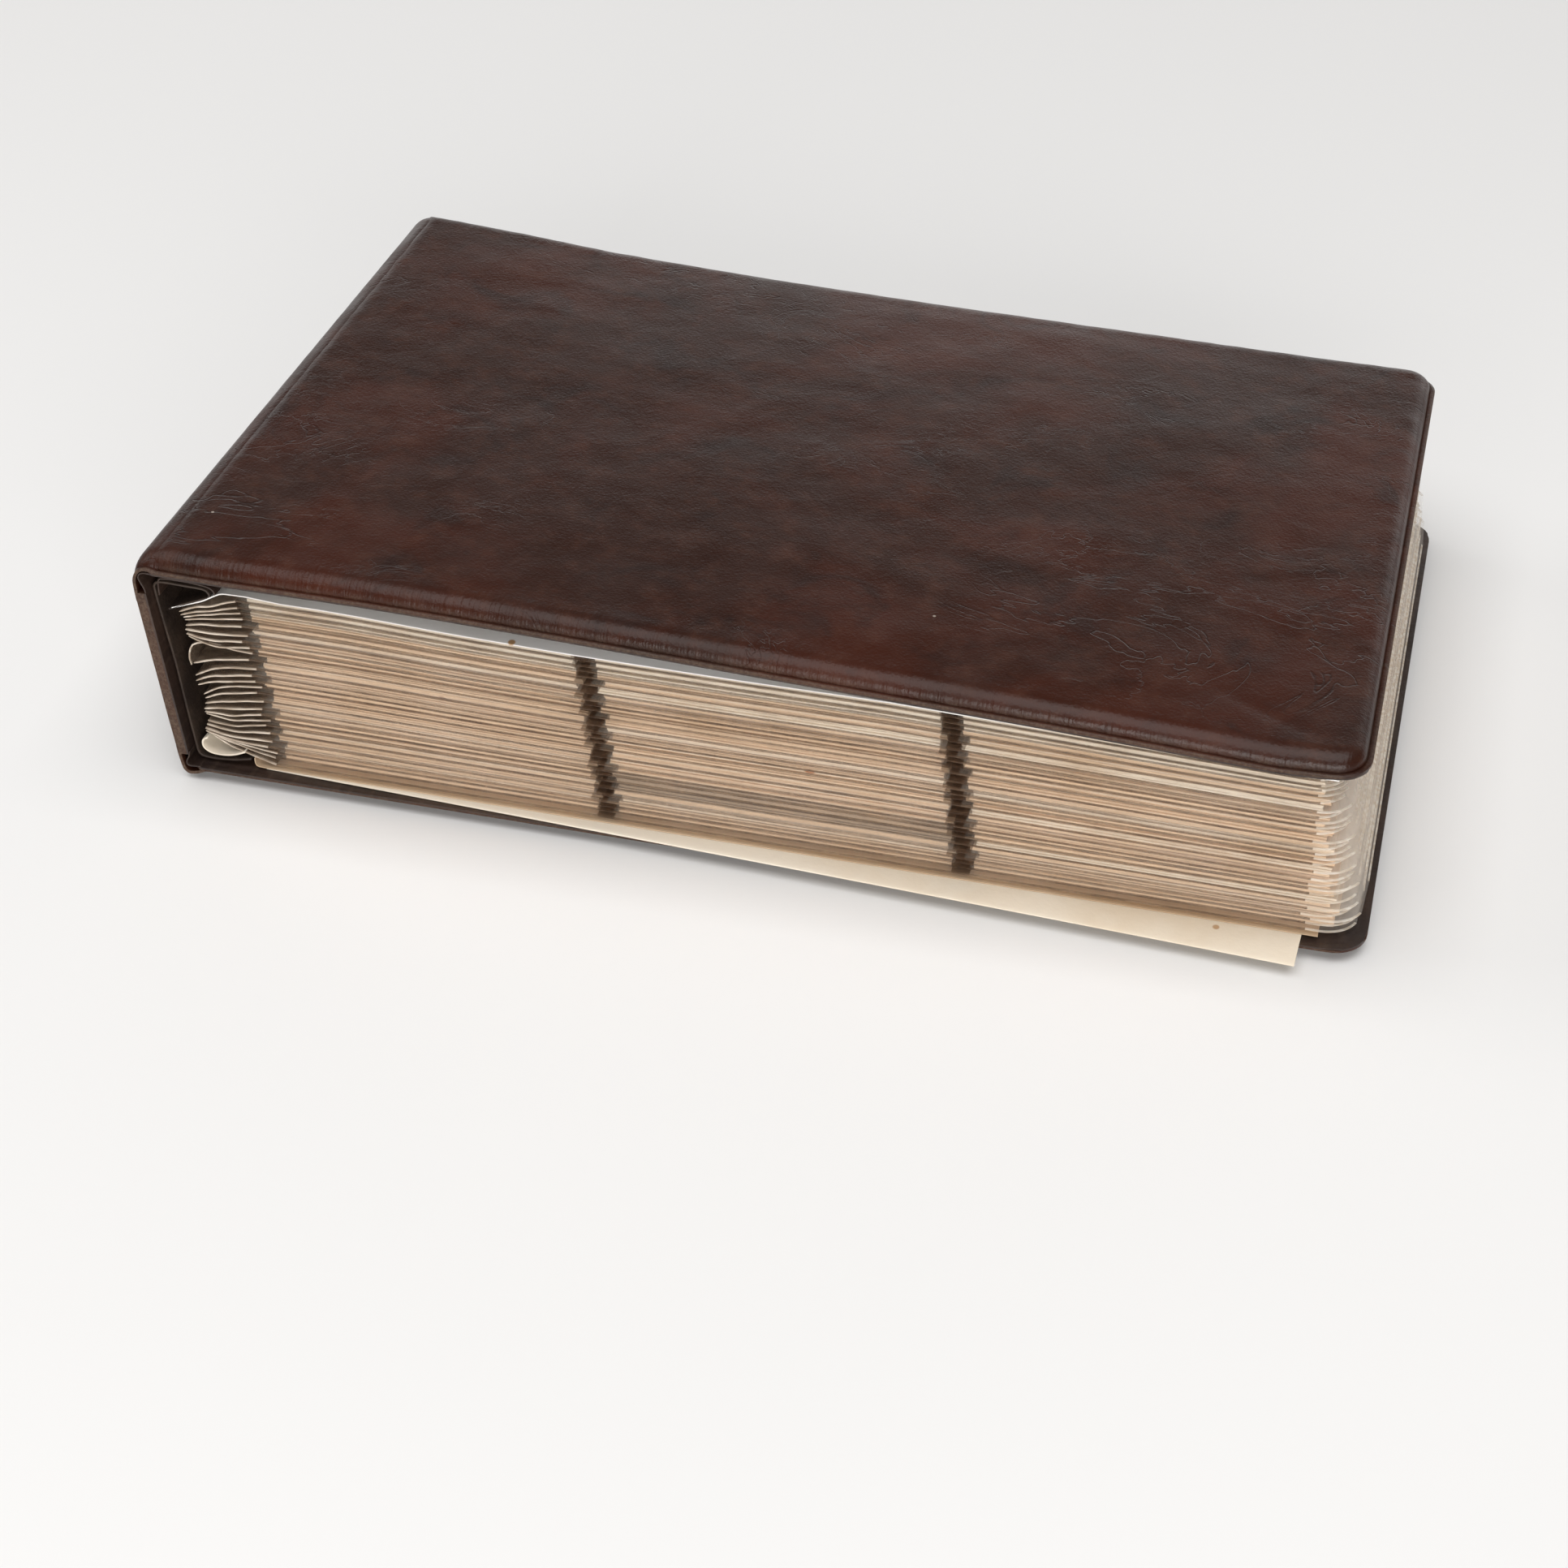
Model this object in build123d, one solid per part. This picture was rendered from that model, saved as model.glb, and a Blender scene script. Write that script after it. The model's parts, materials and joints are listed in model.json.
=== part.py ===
from build123d import *
from math import asin, atan2, cos, degrees, radians, sin
import os

# A coin album: a padded vinyl case around a post-bound stack of clear three-pocket leaves.
# Millimetres and degrees. +X runs from the spine to the fore edge, +Y along the spine and
# +Z up. The origin is the centre of the back cover's flat underside.

# Covers
COVER_LENGTH = 313.0
COVER_WIDTH = 206.0
FORE_CORNER_RADIUS = 9.0
SPINE_CORNER_RADIUS = 3.0
SKIN = 0.8
LINING = 0.5
BOARD = 2.0
FRONT_FOAM = 2.5
BACK_FOAM = 1.0
FLANGE = 2.5
FRONT_EDGE_RADIUS = 2.4
BACK_EDGE_RADIUS = 1.6
INSERT_GAP = 0.1

# Spine and hinges
SPINE_BOARD = 2.3
SPINE_LEAN = 4.7
HINGE_ROLL_RADIUS = 1.8
HINGE_SIDE_GAP = 0.3
FRONT_SIDE_GAP = 0.5
HINGE_COVER_GAP = 0.3
LOWER_HINGE_DROP = 0.3
UPPER_HINGE_RISE = 2.7
HINGE_INSET = 4.0

# Stack of leaves: the pockets nearest the spine are fuller than those at the fore edge
LEAF_COUNT = 26
TURNING_LEAVES = 4
LEAF_PITCH_SPINE = 2.096
LEAF_PITCH_FORE = 1.854
LEAF_GAP = 0.06
LEAF_WIDTH = 200.0
POCKET_COUNT = 3
POCKET_START = 21.8
POCKET_WIDTH = 90.2
POCKET_GAP = 4.4
END_WELD = 3.2
LEAF_CORNER_RADIUS = 9.0
LEAF_DRIFT = 1.4
FILM = 0.5
POCKET_CAVITY = 1.36
POCKET_WALL = 0.35
CARD_THICKNESS = 1.16
CARD_LENGTH = 165.0
CARD_GAP = 0.3
COIN_RADIUS = 14.0
COIN_GAP = 0.15

# Binding: margins of the leaves on three screw posts
MARGIN_START = 2.1
MARGIN_BOTTOM_LEVEL = 9.0
MARGIN_TOP_LEVEL = 56.2
MARGIN_FLAT_TOP = 12.0
MARGIN_FLAT_BOTTOM = 17.0
FIRST_CREASE = 15.2
CREASE_STEP = 1.0
CREASE_GAP = 0.35
POST_INSET = 6.8
POST_SPACING = 70.0
POST_COUNT = 3
BARREL_RADIUS = 2.3
BARREL_HOLE_GAP = 0.3
BARREL_FLANGE_RADIUS = 3.5
BARREL_FLANGE = 0.9
SCREW_RADIUS = 1.5
SCREW_GAP = 0.05
SCREW_LENGTH = 14.0
SCREW_HEAD = 1.2
SLOT_WIDTH = 0.9
SLOT_DEPTH = 0.6

# Guard: C-shaped sheet inside the spine, whose top arm folds back under itself
GUARD = 0.6
GUARD_WIDTH = 200.0
GUARD_WEB_GAP = 0.8
GUARD_CORNER_RADIUS = 1.6
GUARD_FOLD_RADIUS = 1.7
GUARD_FOLD_REACH = 10.3
GUARD_FLAP_REACH = 0.8
GUARD_FOOT_REACH = 15.8
GUARD_FLAP_LIFT = 1.4
GUARD_FOOT_LIFT = 1.1
WELD_HEIGHT = 8.0
WELD_RISE = 9.0

# Loose and bound sheets
TITLE_THICKNESS = 0.3
TITLE_LIFT = 0.3
TITLE_CREASE = 13.9
TITLE_TAB_FLAT = 11.6
TITLE_TAB_DROP = 0.8
SHEET_GAP = 0.1
BACKING_THICKNESS = 0.3
BACKING_START = 17.3
BACKING_FOLD = 2.8
LOOSE_THICKNESS = 0.6
LOOSE_LENGTH = 277.0
LOOSE_WIDTH = 186.0
LOOSE_TURN = -2.3
LOOSE_CORNER = (140.3, -110.6)
SPACER_GAP = 0.2
SPACER_WIDTH = 11.0
SPACER_THICKNESS = 2.0
COVER_REST_GAP = 0.5

# Places that follow from the sizes above
SPINE_EDGE = -COVER_LENGTH / 2
BACK_THICKNESS = SKIN + BACK_FOAM + BOARD + LINING
FRONT_THICKNESS = SKIN + FRONT_FOAM + BOARD + LINING
SPINE_THICKNESS = SKIN + SPINE_BOARD + LINING
STACK_BOTTOM = BACK_THICKNESS + LOOSE_THICKNESS + BACKING_THICKNESS + 3 * SHEET_GAP
STACK_TOP_SPINE = STACK_BOTTOM + LEAF_COUNT * LEAF_PITCH_SPINE
STACK_TOP_FORE = STACK_BOTTOM + LEAF_COUNT * LEAF_PITCH_FORE
POCKETS_LENGTH = POCKET_COUNT * POCKET_WIDTH + (POCKET_COUNT - 1) * POCKET_GAP
PAD_START = SPINE_EDGE + POCKET_START
PAD_END = PAD_START + POCKETS_LENGTH
LEAF_END = PAD_END + END_WELD

LOWER_HINGE = Vector(SPINE_EDGE - HINGE_SIDE_GAP - HINGE_ROLL_RADIUS, 0, BACK_THICKNESS - LOWER_HINGE_DROP)
UPPER_HINGE_HEIGHT = STACK_TOP_SPINE + UPPER_HINGE_RISE
SPINE_REACH = (UPPER_HINGE_HEIGHT - LOWER_HINGE.Z) / cos(radians(SPINE_LEAN))
UPPER_HINGE = LOWER_HINGE + Vector(-sin(radians(SPINE_LEAN)), 0, cos(radians(SPINE_LEAN))) * SPINE_REACH

FRONT_EDGE_X = UPPER_HINGE.X + HINGE_ROLL_RADIUS + FRONT_SIDE_GAP
FRONT_UNDERSIDE = UPPER_HINGE.Z + HINGE_ROLL_RADIUS + HINGE_COVER_GAP
FORE_UNDERSIDE = STACK_TOP_FORE + TITLE_LIFT + TITLE_THICKNESS + COVER_REST_GAP
FRONT_TILT = degrees(asin((FRONT_UNDERSIDE - FORE_UNDERSIDE) / COVER_LENGTH))

POST_X = SPINE_EDGE + POST_INSET
POST_YS = [(i - (POST_COUNT - 1) / 2) * POST_SPACING for i in range(POST_COUNT)]
HOLE_RADIUS = BARREL_RADIUS + BARREL_HOLE_GAP
GUARD_FOOT_Z = BACK_THICKNESS + GUARD_FOOT_LIFT
GUARD_FLAP_Z = MARGIN_TOP_LEVEL + GUARD_FLAP_LIFT
GUARD_ARM_Z = GUARD_FLAP_Z + 2 * GUARD_FOLD_RADIUS + GUARD
MARGIN_STEP = (MARGIN_TOP_LEVEL - MARGIN_BOTTOM_LEVEL) / (LEAF_COUNT - 1)


def sheet(points, width):
    """A closed outline in the XZ plane, drawn out along Y on both sides of the middle."""
    return extrude(make_face(Plane.XZ * Polyline(points, close=True)), width / 2, both=True)


def strip(points, thickness, width, radii):
    """A bent sheet of even thickness along a line of points in the XZ plane."""
    face = trace(FilletPolyline(*points, radius=radii), thickness)
    return extrude(Plane.XZ * face, width / 2, both=True)


def rod(radius, low, high, x, y):
    """An upright round rod from one level to another."""
    return Pos(x, y, (low + high) / 2) * Cylinder(radius, high - low)


def bored(solid, low, high):
    """The solid with a clearance hole for each post between two levels."""
    for y in POST_YS:
        solid -= rod(HOLE_RADIUS, low, high, POST_X, y)
    return solid


def rounded_plate(length, width, fore_radius, spine_radius, low, high):
    """A flat plate from x = 0 with larger corners at the fore edge than at the spine."""
    plate = Pos(length / 2, 0, (low + high) / 2) * Box(length, width, high - low)
    upright = plate.edges().filter_by(Axis.Z).sort_by(Axis.X)
    plate = fillet(upright[-2:], fore_radius)
    upright = plate.edges().filter_by(Axis.Z).sort_by(Axis.X)
    return fillet(upright[:2], spine_radius)


def cover_plate(inset, low, high):
    """A layer of a cover, set in from the cover's outline by the same amount all round."""
    fore = max(FORE_CORNER_RADIUS - inset, 1.0)
    spine = max(SPINE_CORNER_RADIUS - inset, 0.5)
    plate = rounded_plate(COVER_LENGTH - 2 * inset, COVER_WIDTH - 2 * inset, fore, spine, low, high)
    return Pos(inset, 0, 0) * plate


def crowned(plate, radius):
    """The plate with its outer rim rounded over."""
    rim = plate.faces().sort_by(Axis.Z)[-1].edges()
    return fillet(rim, radius)


def cover(foam, edge_radius):
    """One cover, flat, with its inner face at z = 0 and its spine side at x = 0."""
    board_top = LINING + BOARD
    foam_top = board_top + foam
    padded = crowned(cover_plate(FLANGE, LINING, foam_top + SKIN), edge_radius)
    cavity = crowned(cover_plate(FLANGE + SKIN, LINING, foam_top), edge_radius - SKIN)
    inside = FLANGE + SKIN + INSERT_GAP
    return {
        "skin": cover_plate(0, LINING, LINING + SKIN) + padded - cavity,
        "foam": crowned(cover_plate(inside, board_top, foam_top), edge_radius - SKIN),
        "board": cover_plate(inside, LINING, board_top),
        "lining": cover_plate(0, 0, LINING),
    }


def front_cover():
    """The front cover, sloping down from the upper hinge to the thin end of the stack."""
    place = Pos(FRONT_EDGE_X, 0, FRONT_UNDERSIDE) * Rot(0, FRONT_TILT, 0)
    parts = cover(FRONT_FOAM, FRONT_EDGE_RADIUS)
    return {"front_cover_" + name: place * part for name, part in parts.items()}


def back_cover():
    """The back cover, lying on its padded side."""
    place = Pos(SPINE_EDGE, 0, BACK_THICKNESS) * Rot(180, 0, 0)
    parts = cover(BACK_FOAM, BACK_EDGE_RADIUS)
    return {"back_cover_" + name: place * part for name, part in parts.items()}


def spine():
    """The spine panel between the hinge rolls, and the rolls themselves."""
    place = Pos(LOWER_HINGE) * Rot(0, -SPINE_LEAN, 0)

    def slab(outer, inner, end_inset):
        """A layer of the panel, from one depth to another under its outer face."""
        middle = (outer + inner) / 2 - SPINE_THICKNESS / 2
        width = COVER_WIDTH - 2 * end_inset
        return Pos(middle, 0, SPINE_REACH / 2) * Box(inner - outer, width, SPINE_REACH)

    seat = Rot(90, 0, 0) * Cylinder(HINGE_ROLL_RADIUS + INSERT_GAP, COVER_WIDTH + 2)
    ends = seat + Pos(0, 0, SPINE_REACH) * seat
    board_end = SKIN + SPINE_BOARD
    panel = {
        "skin": slab(0, board_end, 0) - slab(SKIN, board_end, FLANGE),
        "board": slab(SKIN, board_end, FLANGE + INSERT_GAP),
        "lining": slab(board_end, SPINE_THICKNESS, 0),
    }
    parts = {"spine_" + name: place * (layer - ends) for name, layer in panel.items()}
    roll = Rot(90, 0, 0) * Cylinder(HINGE_ROLL_RADIUS, COVER_WIDTH - 2 * HINGE_INSET)
    parts["lower_hinge_roll"] = Pos(LOWER_HINGE) * roll
    parts["upper_hinge_roll"] = Pos(UPPER_HINGE) * roll
    return parts


def spine_inner_x(z, gap):
    """Where the spine's inner face, moved inwards by a gap, crosses a level."""
    lean = radians(SPINE_LEAN)
    rise = z - LOWER_HINGE.Z
    return LOWER_HINGE.X - rise * sin(lean) / cos(lean) + (SPINE_THICKNESS / 2 + gap) / cos(lean)


def binding():
    """The guard, the weld that holds it to the spine, and the posts."""
    web = GUARD_WEB_GAP + GUARD / 2
    line = [
        (SPINE_EDGE + GUARD_FLAP_REACH, GUARD_FLAP_Z),
        (SPINE_EDGE + GUARD_FOLD_REACH + GUARD_FOLD_RADIUS, GUARD_FLAP_Z),
        (SPINE_EDGE + GUARD_FOLD_REACH + GUARD_FOLD_RADIUS, GUARD_ARM_Z - GUARD / 2),
        (spine_inner_x(GUARD_ARM_Z, web), GUARD_ARM_Z - GUARD / 2),
        (spine_inner_x(GUARD_FOOT_Z, web), GUARD_FOOT_Z + GUARD / 2),
        (SPINE_EDGE + GUARD_FOOT_REACH, GUARD_FOOT_Z + GUARD / 2),
    ]
    fold = (GUARD_ARM_Z - GUARD / 2 - GUARD_FLAP_Z) / 2 - 0.01
    radii = [fold, fold, GUARD_CORNER_RADIUS, GUARD_CORNER_RADIUS]
    guard = strip(line, GUARD, GUARD_WIDTH, radii)
    top = GUARD_FLAP_Z + GUARD / 2
    guard = bored(guard, GUARD_FOOT_Z - 1, top + 1)

    weld_low = LOWER_HINGE.Z + WELD_RISE
    weld = sheet(
        [
            (spine_inner_x(weld_low, 0), weld_low),
            (spine_inner_x(weld_low, GUARD_WEB_GAP), weld_low),
            (spine_inner_x(weld_low + WELD_HEIGHT, GUARD_WEB_GAP), weld_low + WELD_HEIGHT),
            (spine_inner_x(weld_low + WELD_HEIGHT, 0), weld_low + WELD_HEIGHT),
        ],
        GUARD_WIDTH - 2 * HINGE_INSET,
    )

    bore_bottom = top - SCREW_LENGTH - 1
    barrels, screws = [], []
    for y in POST_YS:
        barrel = rod(BARREL_RADIUS, GUARD_FOOT_Z, top, POST_X, y)
        barrel += rod(BARREL_FLANGE_RADIUS, GUARD_FOOT_Z - BARREL_FLANGE, GUARD_FOOT_Z, POST_X, y)
        barrels.append(barrel - rod(SCREW_RADIUS + SCREW_GAP, bore_bottom, top + 1, POST_X, y))
        screw = rod(SCREW_RADIUS, top - SCREW_LENGTH, top, POST_X, y)
        screw += rod(BARREL_FLANGE_RADIUS, top, top + SCREW_HEAD, POST_X, y)
        slot = Pos(POST_X, y, top + SCREW_HEAD) * Box(2 * BARREL_FLANGE_RADIUS + 1, SLOT_WIDTH, 2 * SLOT_DEPTH)
        screws.append(screw - slot)
    return {
        "binding_guard": guard,
        "guard_weld": weld,
        "post_barrels": Compound(children=barrels),
        "post_screws": Compound(children=screws),
    }


def leaf_level(number, x, share):
    """Height of a leaf at x: share 0 is its underside, 1 the underside of the one above."""
    along = (x - PAD_START) / (PAD_END - PAD_START)
    pitch = LEAF_PITCH_SPINE + (LEAF_PITCH_FORE - LEAF_PITCH_SPINE) * along
    return STACK_BOTTOM + (LEAF_COUNT - number + share) * pitch


def margin_level(number):
    """Height of a leaf's margin where the posts go through it."""
    return MARGIN_BOTTOM_LEVEL + (LEAF_COUNT - number) * MARGIN_STEP


def leaf_drift(number):
    """Leaves never line up quite: how far one sits from its place, along the album."""
    return LEAF_DRIFT * sin(2.4 * number) if number > TURNING_LEAVES else 0.0


def pocket_span(index, drift):
    """Start and end of a pocket along X."""
    start = PAD_START + drift + index * (POCKET_WIDTH + POCKET_GAP)
    return start, start + POCKET_WIDTH


def pad_outline(number, side, drift):
    """One face of a leaf from spine to fore edge: full at the pockets, thin at the welds."""
    points = []
    share = (LEAF_GAP / LEAF_PITCH_SPINE) if side < 0 else 1 - LEAF_GAP / LEAF_PITCH_SPINE
    for index in range(POCKET_COUNT):
        for x, first in zip(pocket_span(index, drift), (True, False)):
            full = (x, leaf_level(number, x, share))
            thin = (x, leaf_level(number, x, 0.5) + side * FILM / 2)
            points += [thin, full] if first else [full, thin]
    end = LEAF_END + drift
    return points + [(end, leaf_level(number, end, 0.5) + side * FILM / 2)]


def leaf_shape(number, start_line):
    """A leaf from a run of (x, z) points on the middle of its film to the fore edge."""
    drift = leaf_drift(number)
    below = [(x, z - FILM / 2) for x, z in start_line] + pad_outline(number, -1, drift)
    above = [(x, z + FILM / 2) for x, z in start_line] + pad_outline(number, 1, drift)
    body = sheet(below + above[::-1], LEAF_WIDTH)
    length = LEAF_END + drift - SPINE_EDGE
    outline = rounded_plate(length, LEAF_WIDTH, LEAF_CORNER_RADIUS, 0.5, 0, 2 * STACK_TOP_SPINE)
    return body & Pos(SPINE_EDGE, 0, 0) * outline


def still_leaf(number):
    """A leaf that stays in the stack: margin, sleeve and the cards inside it as one block."""
    share = (number - TURNING_LEAVES) / (LEAF_COUNT - TURNING_LEAVES)
    flat = MARGIN_FLAT_TOP + (MARGIN_FLAT_BOTTOM - MARGIN_FLAT_TOP) * share
    level = margin_level(number)
    line = [(SPINE_EDGE + MARGIN_START, level), (SPINE_EDGE + flat, level)]
    line.append((PAD_START - LEAF_DRIFT, leaf_level(number, PAD_START - LEAF_DRIFT, 0.5)))
    return bored(leaf_shape(number, line), level - FILM, level + FILM)


def crease_x(number):
    """Where a turning leaf bends beside its margin."""
    return SPINE_EDGE + FIRST_CREASE + (number - 1) * CREASE_STEP


def turning_margin(number):
    """The bound part of a turning leaf, from the posts up to the crease."""
    level, crease = margin_level(number), crease_x(number)
    middle = leaf_level(number, PAD_START, 0.5)
    flat = SPINE_EDGE + MARGIN_FLAT_TOP
    end = crease - CREASE_GAP
    rise = level + (middle - level) * (end - flat) / (crease - flat)
    line = [(SPINE_EDGE + MARGIN_START, level), (flat, level), (end, rise)]
    below = [(x, z - FILM / 2) for x, z in line]
    above = [(x, z + FILM / 2) for x, z in line]
    return bored(sheet(below + above[::-1], LEAF_WIDTH), level - FILM, level + FILM)


def pocket_place(number, index):
    """Centre of a pocket, turned to the leaf's own slope."""
    start, end = pocket_span(index, 0.0)
    low, high = leaf_level(number, start, 0.5), leaf_level(number, end, 0.5)
    tilt = degrees(atan2(low - high, end - start))
    return Pos((start + end) / 2, 0, (low + high) / 2) * Rot(0, tilt, 0)


def turning_leaf(number):
    """A leaf that turns: sleeve, and for each pocket a card with a coin in its window."""
    middle = leaf_level(number, PAD_START, 0.5)
    sleeve = leaf_shape(number, [(crease_x(number) + CREASE_GAP / 2, middle)])
    card_y = -LEAF_WIDTH / 2 + END_WELD + CARD_GAP + CARD_LENGTH / 2
    cards, coins = [], []
    for index in range(POCKET_COUNT):
        place = pocket_place(number, index)
        mouth = Box(POCKET_WIDTH - 2 * POCKET_WALL, LEAF_WIDTH, POCKET_CAVITY)
        sleeve -= place * Pos(0, END_WELD, 0) * mouth
        window = Cylinder(COIN_RADIUS + COIN_GAP, 2 * CARD_THICKNESS)
        width = POCKET_WIDTH - 2 * POCKET_WALL - 2 * CARD_GAP
        card = Box(width, CARD_LENGTH, CARD_THICKNESS) - window
        cards.append(place * Pos(0, card_y, 0) * card)
        coins.append(place * Pos(0, card_y, 0) * Cylinder(COIN_RADIUS, CARD_THICKNESS))
    return sleeve, cards, coins


def leaves():
    """All the leaves. The middle card of the top one is apart, because it pulls out."""
    parts, margins = {}, []
    for number in range(1, TURNING_LEAVES + 1):
        name = f"leaf_{number:02d}"
        sleeve, cards, coins = turning_leaf(number)
        if number == 1:
            parts["pulled_card"] = cards.pop(1)
            parts["pulled_card_coin"] = coins.pop(1)
        parts[name + "_sleeve"] = sleeve
        parts[name + "_cards"] = Compound(children=cards)
        parts[name + "_coins"] = Compound(children=coins)
        margins.append(turning_margin(number))
    for number in range(TURNING_LEAVES + 1, LEAF_COUNT + 1):
        parts[f"leaf_{number:02d}"] = still_leaf(number)
    tab, page = title()
    parts["title_sheet"] = page
    parts["turning_margins"] = Compound(children=margins + [tab])
    return parts


def title():
    """The title sheet: a tab held under the guard's flap, and the page that turns."""
    crease = SPINE_EDGE + TITLE_CREASE
    flat = SPINE_EDGE + TITLE_TAB_FLAT
    low = MARGIN_TOP_LEVEL + TITLE_TAB_DROP
    half = TITLE_THICKNESS / 2
    rise = STACK_TOP_SPINE + TITLE_LIFT + half
    end = crease - CREASE_GAP
    line = [(SPINE_EDGE + MARGIN_START, low), (flat, low)]
    line.append((end, low + (rise - low) * (end - flat) / (crease - flat)))
    tab = sheet([(x, z - half) for x, z in line] + [(x, z + half) for x, z in line[::-1]], LEAF_WIDTH)
    fore = STACK_TOP_FORE + TITLE_LIFT + half
    line = [(crease + CREASE_GAP / 2, rise), (PAD_START, rise), (PAD_END, fore)]
    page = sheet([(x, z - half) for x, z in line] + [(x, z + half) for x, z in line[::-1]], LEAF_WIDTH)
    return bored(tab, low - 1, low + 1), page


def sheets():
    """The backing sheet, the loose sheet that lies askew and the spacer on the posts."""
    low = BACK_THICKNESS + SHEET_GAP + LOOSE_THICKNESS + SHEET_GAP
    start = SPINE_EDGE + BACKING_START
    backing = sheet([
        (start, low),
        (PAD_END, low),
        (PAD_END, low + BACKING_THICKNESS),
        (start + BACKING_THICKNESS, low + BACKING_THICKNESS),
        (start + BACKING_THICKNESS, low + BACKING_FOLD),
        (start, low + BACKING_FOLD),
    ], LEAF_WIDTH)
    loose = Pos(-LOOSE_LENGTH / 2, LOOSE_WIDTH / 2, 0) * Box(LOOSE_LENGTH, LOOSE_WIDTH, LOOSE_THICKNESS)
    loose_z = BACK_THICKNESS + SHEET_GAP + LOOSE_THICKNESS / 2
    loose = Pos(*LOOSE_CORNER, loose_z) * Rot(0, 0, LOOSE_TURN) * loose
    spacer_low = GUARD_FOOT_Z + GUARD + SPACER_GAP
    spacer_x = SPINE_EDGE + MARGIN_START + SPACER_WIDTH / 2
    spacer = Pos(spacer_x, 0, spacer_low + SPACER_THICKNESS / 2) * Box(SPACER_WIDTH, LEAF_WIDTH, SPACER_THICKNESS)
    spacer = bored(spacer, spacer_low - 1, spacer_low + SPACER_THICKNESS + 1)
    return {"backing_sheet": backing, "loose_sheet": loose, "spacer_strip": spacer}


def main():
    os.makedirs("parts", exist_ok=True)
    for parts in (back_cover(), spine(), front_cover(), binding(), leaves(), sheets()):
        for name, shape in parts.items():
            export_step(shape, f"parts/{name}.step")
    print("lower hinge", LOWER_HINGE, "upper hinge", UPPER_HINGE)
    for number in range(1, TURNING_LEAVES + 1):
        print("crease", number, crease_x(number), leaf_level(number, PAD_START, 0.5))
    print("title crease", SPINE_EDGE + TITLE_CREASE, STACK_TOP_SPINE + TITLE_LIFT + TITLE_THICKNESS / 2)


main()
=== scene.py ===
"""Coin album: a padded vinyl case on three posts, filled with clear pocket leaves."""

import json
import math
import random

import bpy
import numpy as np
from bpy.props import FloatProperty, FloatVectorProperty, IntProperty, PointerProperty
from mathutils import Matrix, Vector, noise


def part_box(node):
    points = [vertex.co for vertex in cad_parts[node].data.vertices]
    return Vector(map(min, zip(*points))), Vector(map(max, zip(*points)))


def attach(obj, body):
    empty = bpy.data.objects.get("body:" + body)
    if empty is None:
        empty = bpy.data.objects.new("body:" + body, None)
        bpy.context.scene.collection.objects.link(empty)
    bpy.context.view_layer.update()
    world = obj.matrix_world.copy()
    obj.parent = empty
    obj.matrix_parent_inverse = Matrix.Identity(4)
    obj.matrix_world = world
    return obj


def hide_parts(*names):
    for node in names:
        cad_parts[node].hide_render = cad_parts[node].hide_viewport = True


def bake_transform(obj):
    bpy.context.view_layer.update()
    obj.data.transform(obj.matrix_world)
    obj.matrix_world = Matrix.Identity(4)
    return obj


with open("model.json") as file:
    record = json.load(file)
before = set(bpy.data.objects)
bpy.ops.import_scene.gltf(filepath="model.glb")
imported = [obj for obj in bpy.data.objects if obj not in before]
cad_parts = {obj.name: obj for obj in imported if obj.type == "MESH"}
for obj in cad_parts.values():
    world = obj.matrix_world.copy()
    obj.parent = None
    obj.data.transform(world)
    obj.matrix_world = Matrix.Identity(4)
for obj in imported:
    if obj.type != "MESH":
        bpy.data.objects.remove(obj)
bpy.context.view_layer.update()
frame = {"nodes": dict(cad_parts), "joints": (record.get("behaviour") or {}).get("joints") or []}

bl_info = {
    "name": "Coin album",
    "version": (1, 0, 0),
    "blender": (4, 5, 0),
    "location": "View3D > Sidebar > Coin album",
    "description": "Builds the padded case, the binding and the filled leaves of a coin album",
    "category": "Object",
}

MM = 0.001

# The case, in millimetres, from the frame.
BACK_LOW, BACK_HIGH = (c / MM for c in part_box("back_cover_skin"))
LINING_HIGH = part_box("back_cover_lining")[1].z / MM
SPINE_EDGE, FORE_EDGE = BACK_LOW.x, BACK_HIGH.x
HALF_WIDTH = BACK_HIGH.y
COVER_LENGTH = FORE_EDGE - SPINE_EDGE
FORE_RADIUS, SPINE_RADIUS = 9.0, 3.0
JOINTS = {j["name"]: j for j in frame["joints"]}


def hinge_place(name):
    """Where a joint's axis crosses the middle plane: its x and z in millimetres."""
    x, _, z = JOINTS[name]["pos_m"]
    return x / MM, z / MM


LOWER_HINGE = hinge_place("spine_fold")
UPPER_HINGE = hinge_place("front_cover_open")
SPINE_LEAN = math.atan2(LOWER_HINGE[0] - UPPER_HINGE[0], UPPER_HINGE[1] - LOWER_HINGE[1])
SPINE_REACH = math.hypot(LOWER_HINGE[0] - UPPER_HINGE[0], UPPER_HINGE[1] - LOWER_HINGE[1])
SPINE_THICKNESS = 3.6
COVER_PAST_HINGE, COVER_OVER_HINGE = 2.3, 2.1
FRONT_EDGE_X = UPPER_HINGE[0] + COVER_PAST_HINGE
FRONT_UNDERSIDE = UPPER_HINGE[1] + COVER_OVER_HINGE
FORE_UNDERSIDE = 54.804
FRONT_TILT = math.asin((FRONT_UNDERSIDE - FORE_UNDERSIDE) / COVER_LENGTH)
ALBUM_X = -154.7  # the place along x that the binding's own lengths are counted from

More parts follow.
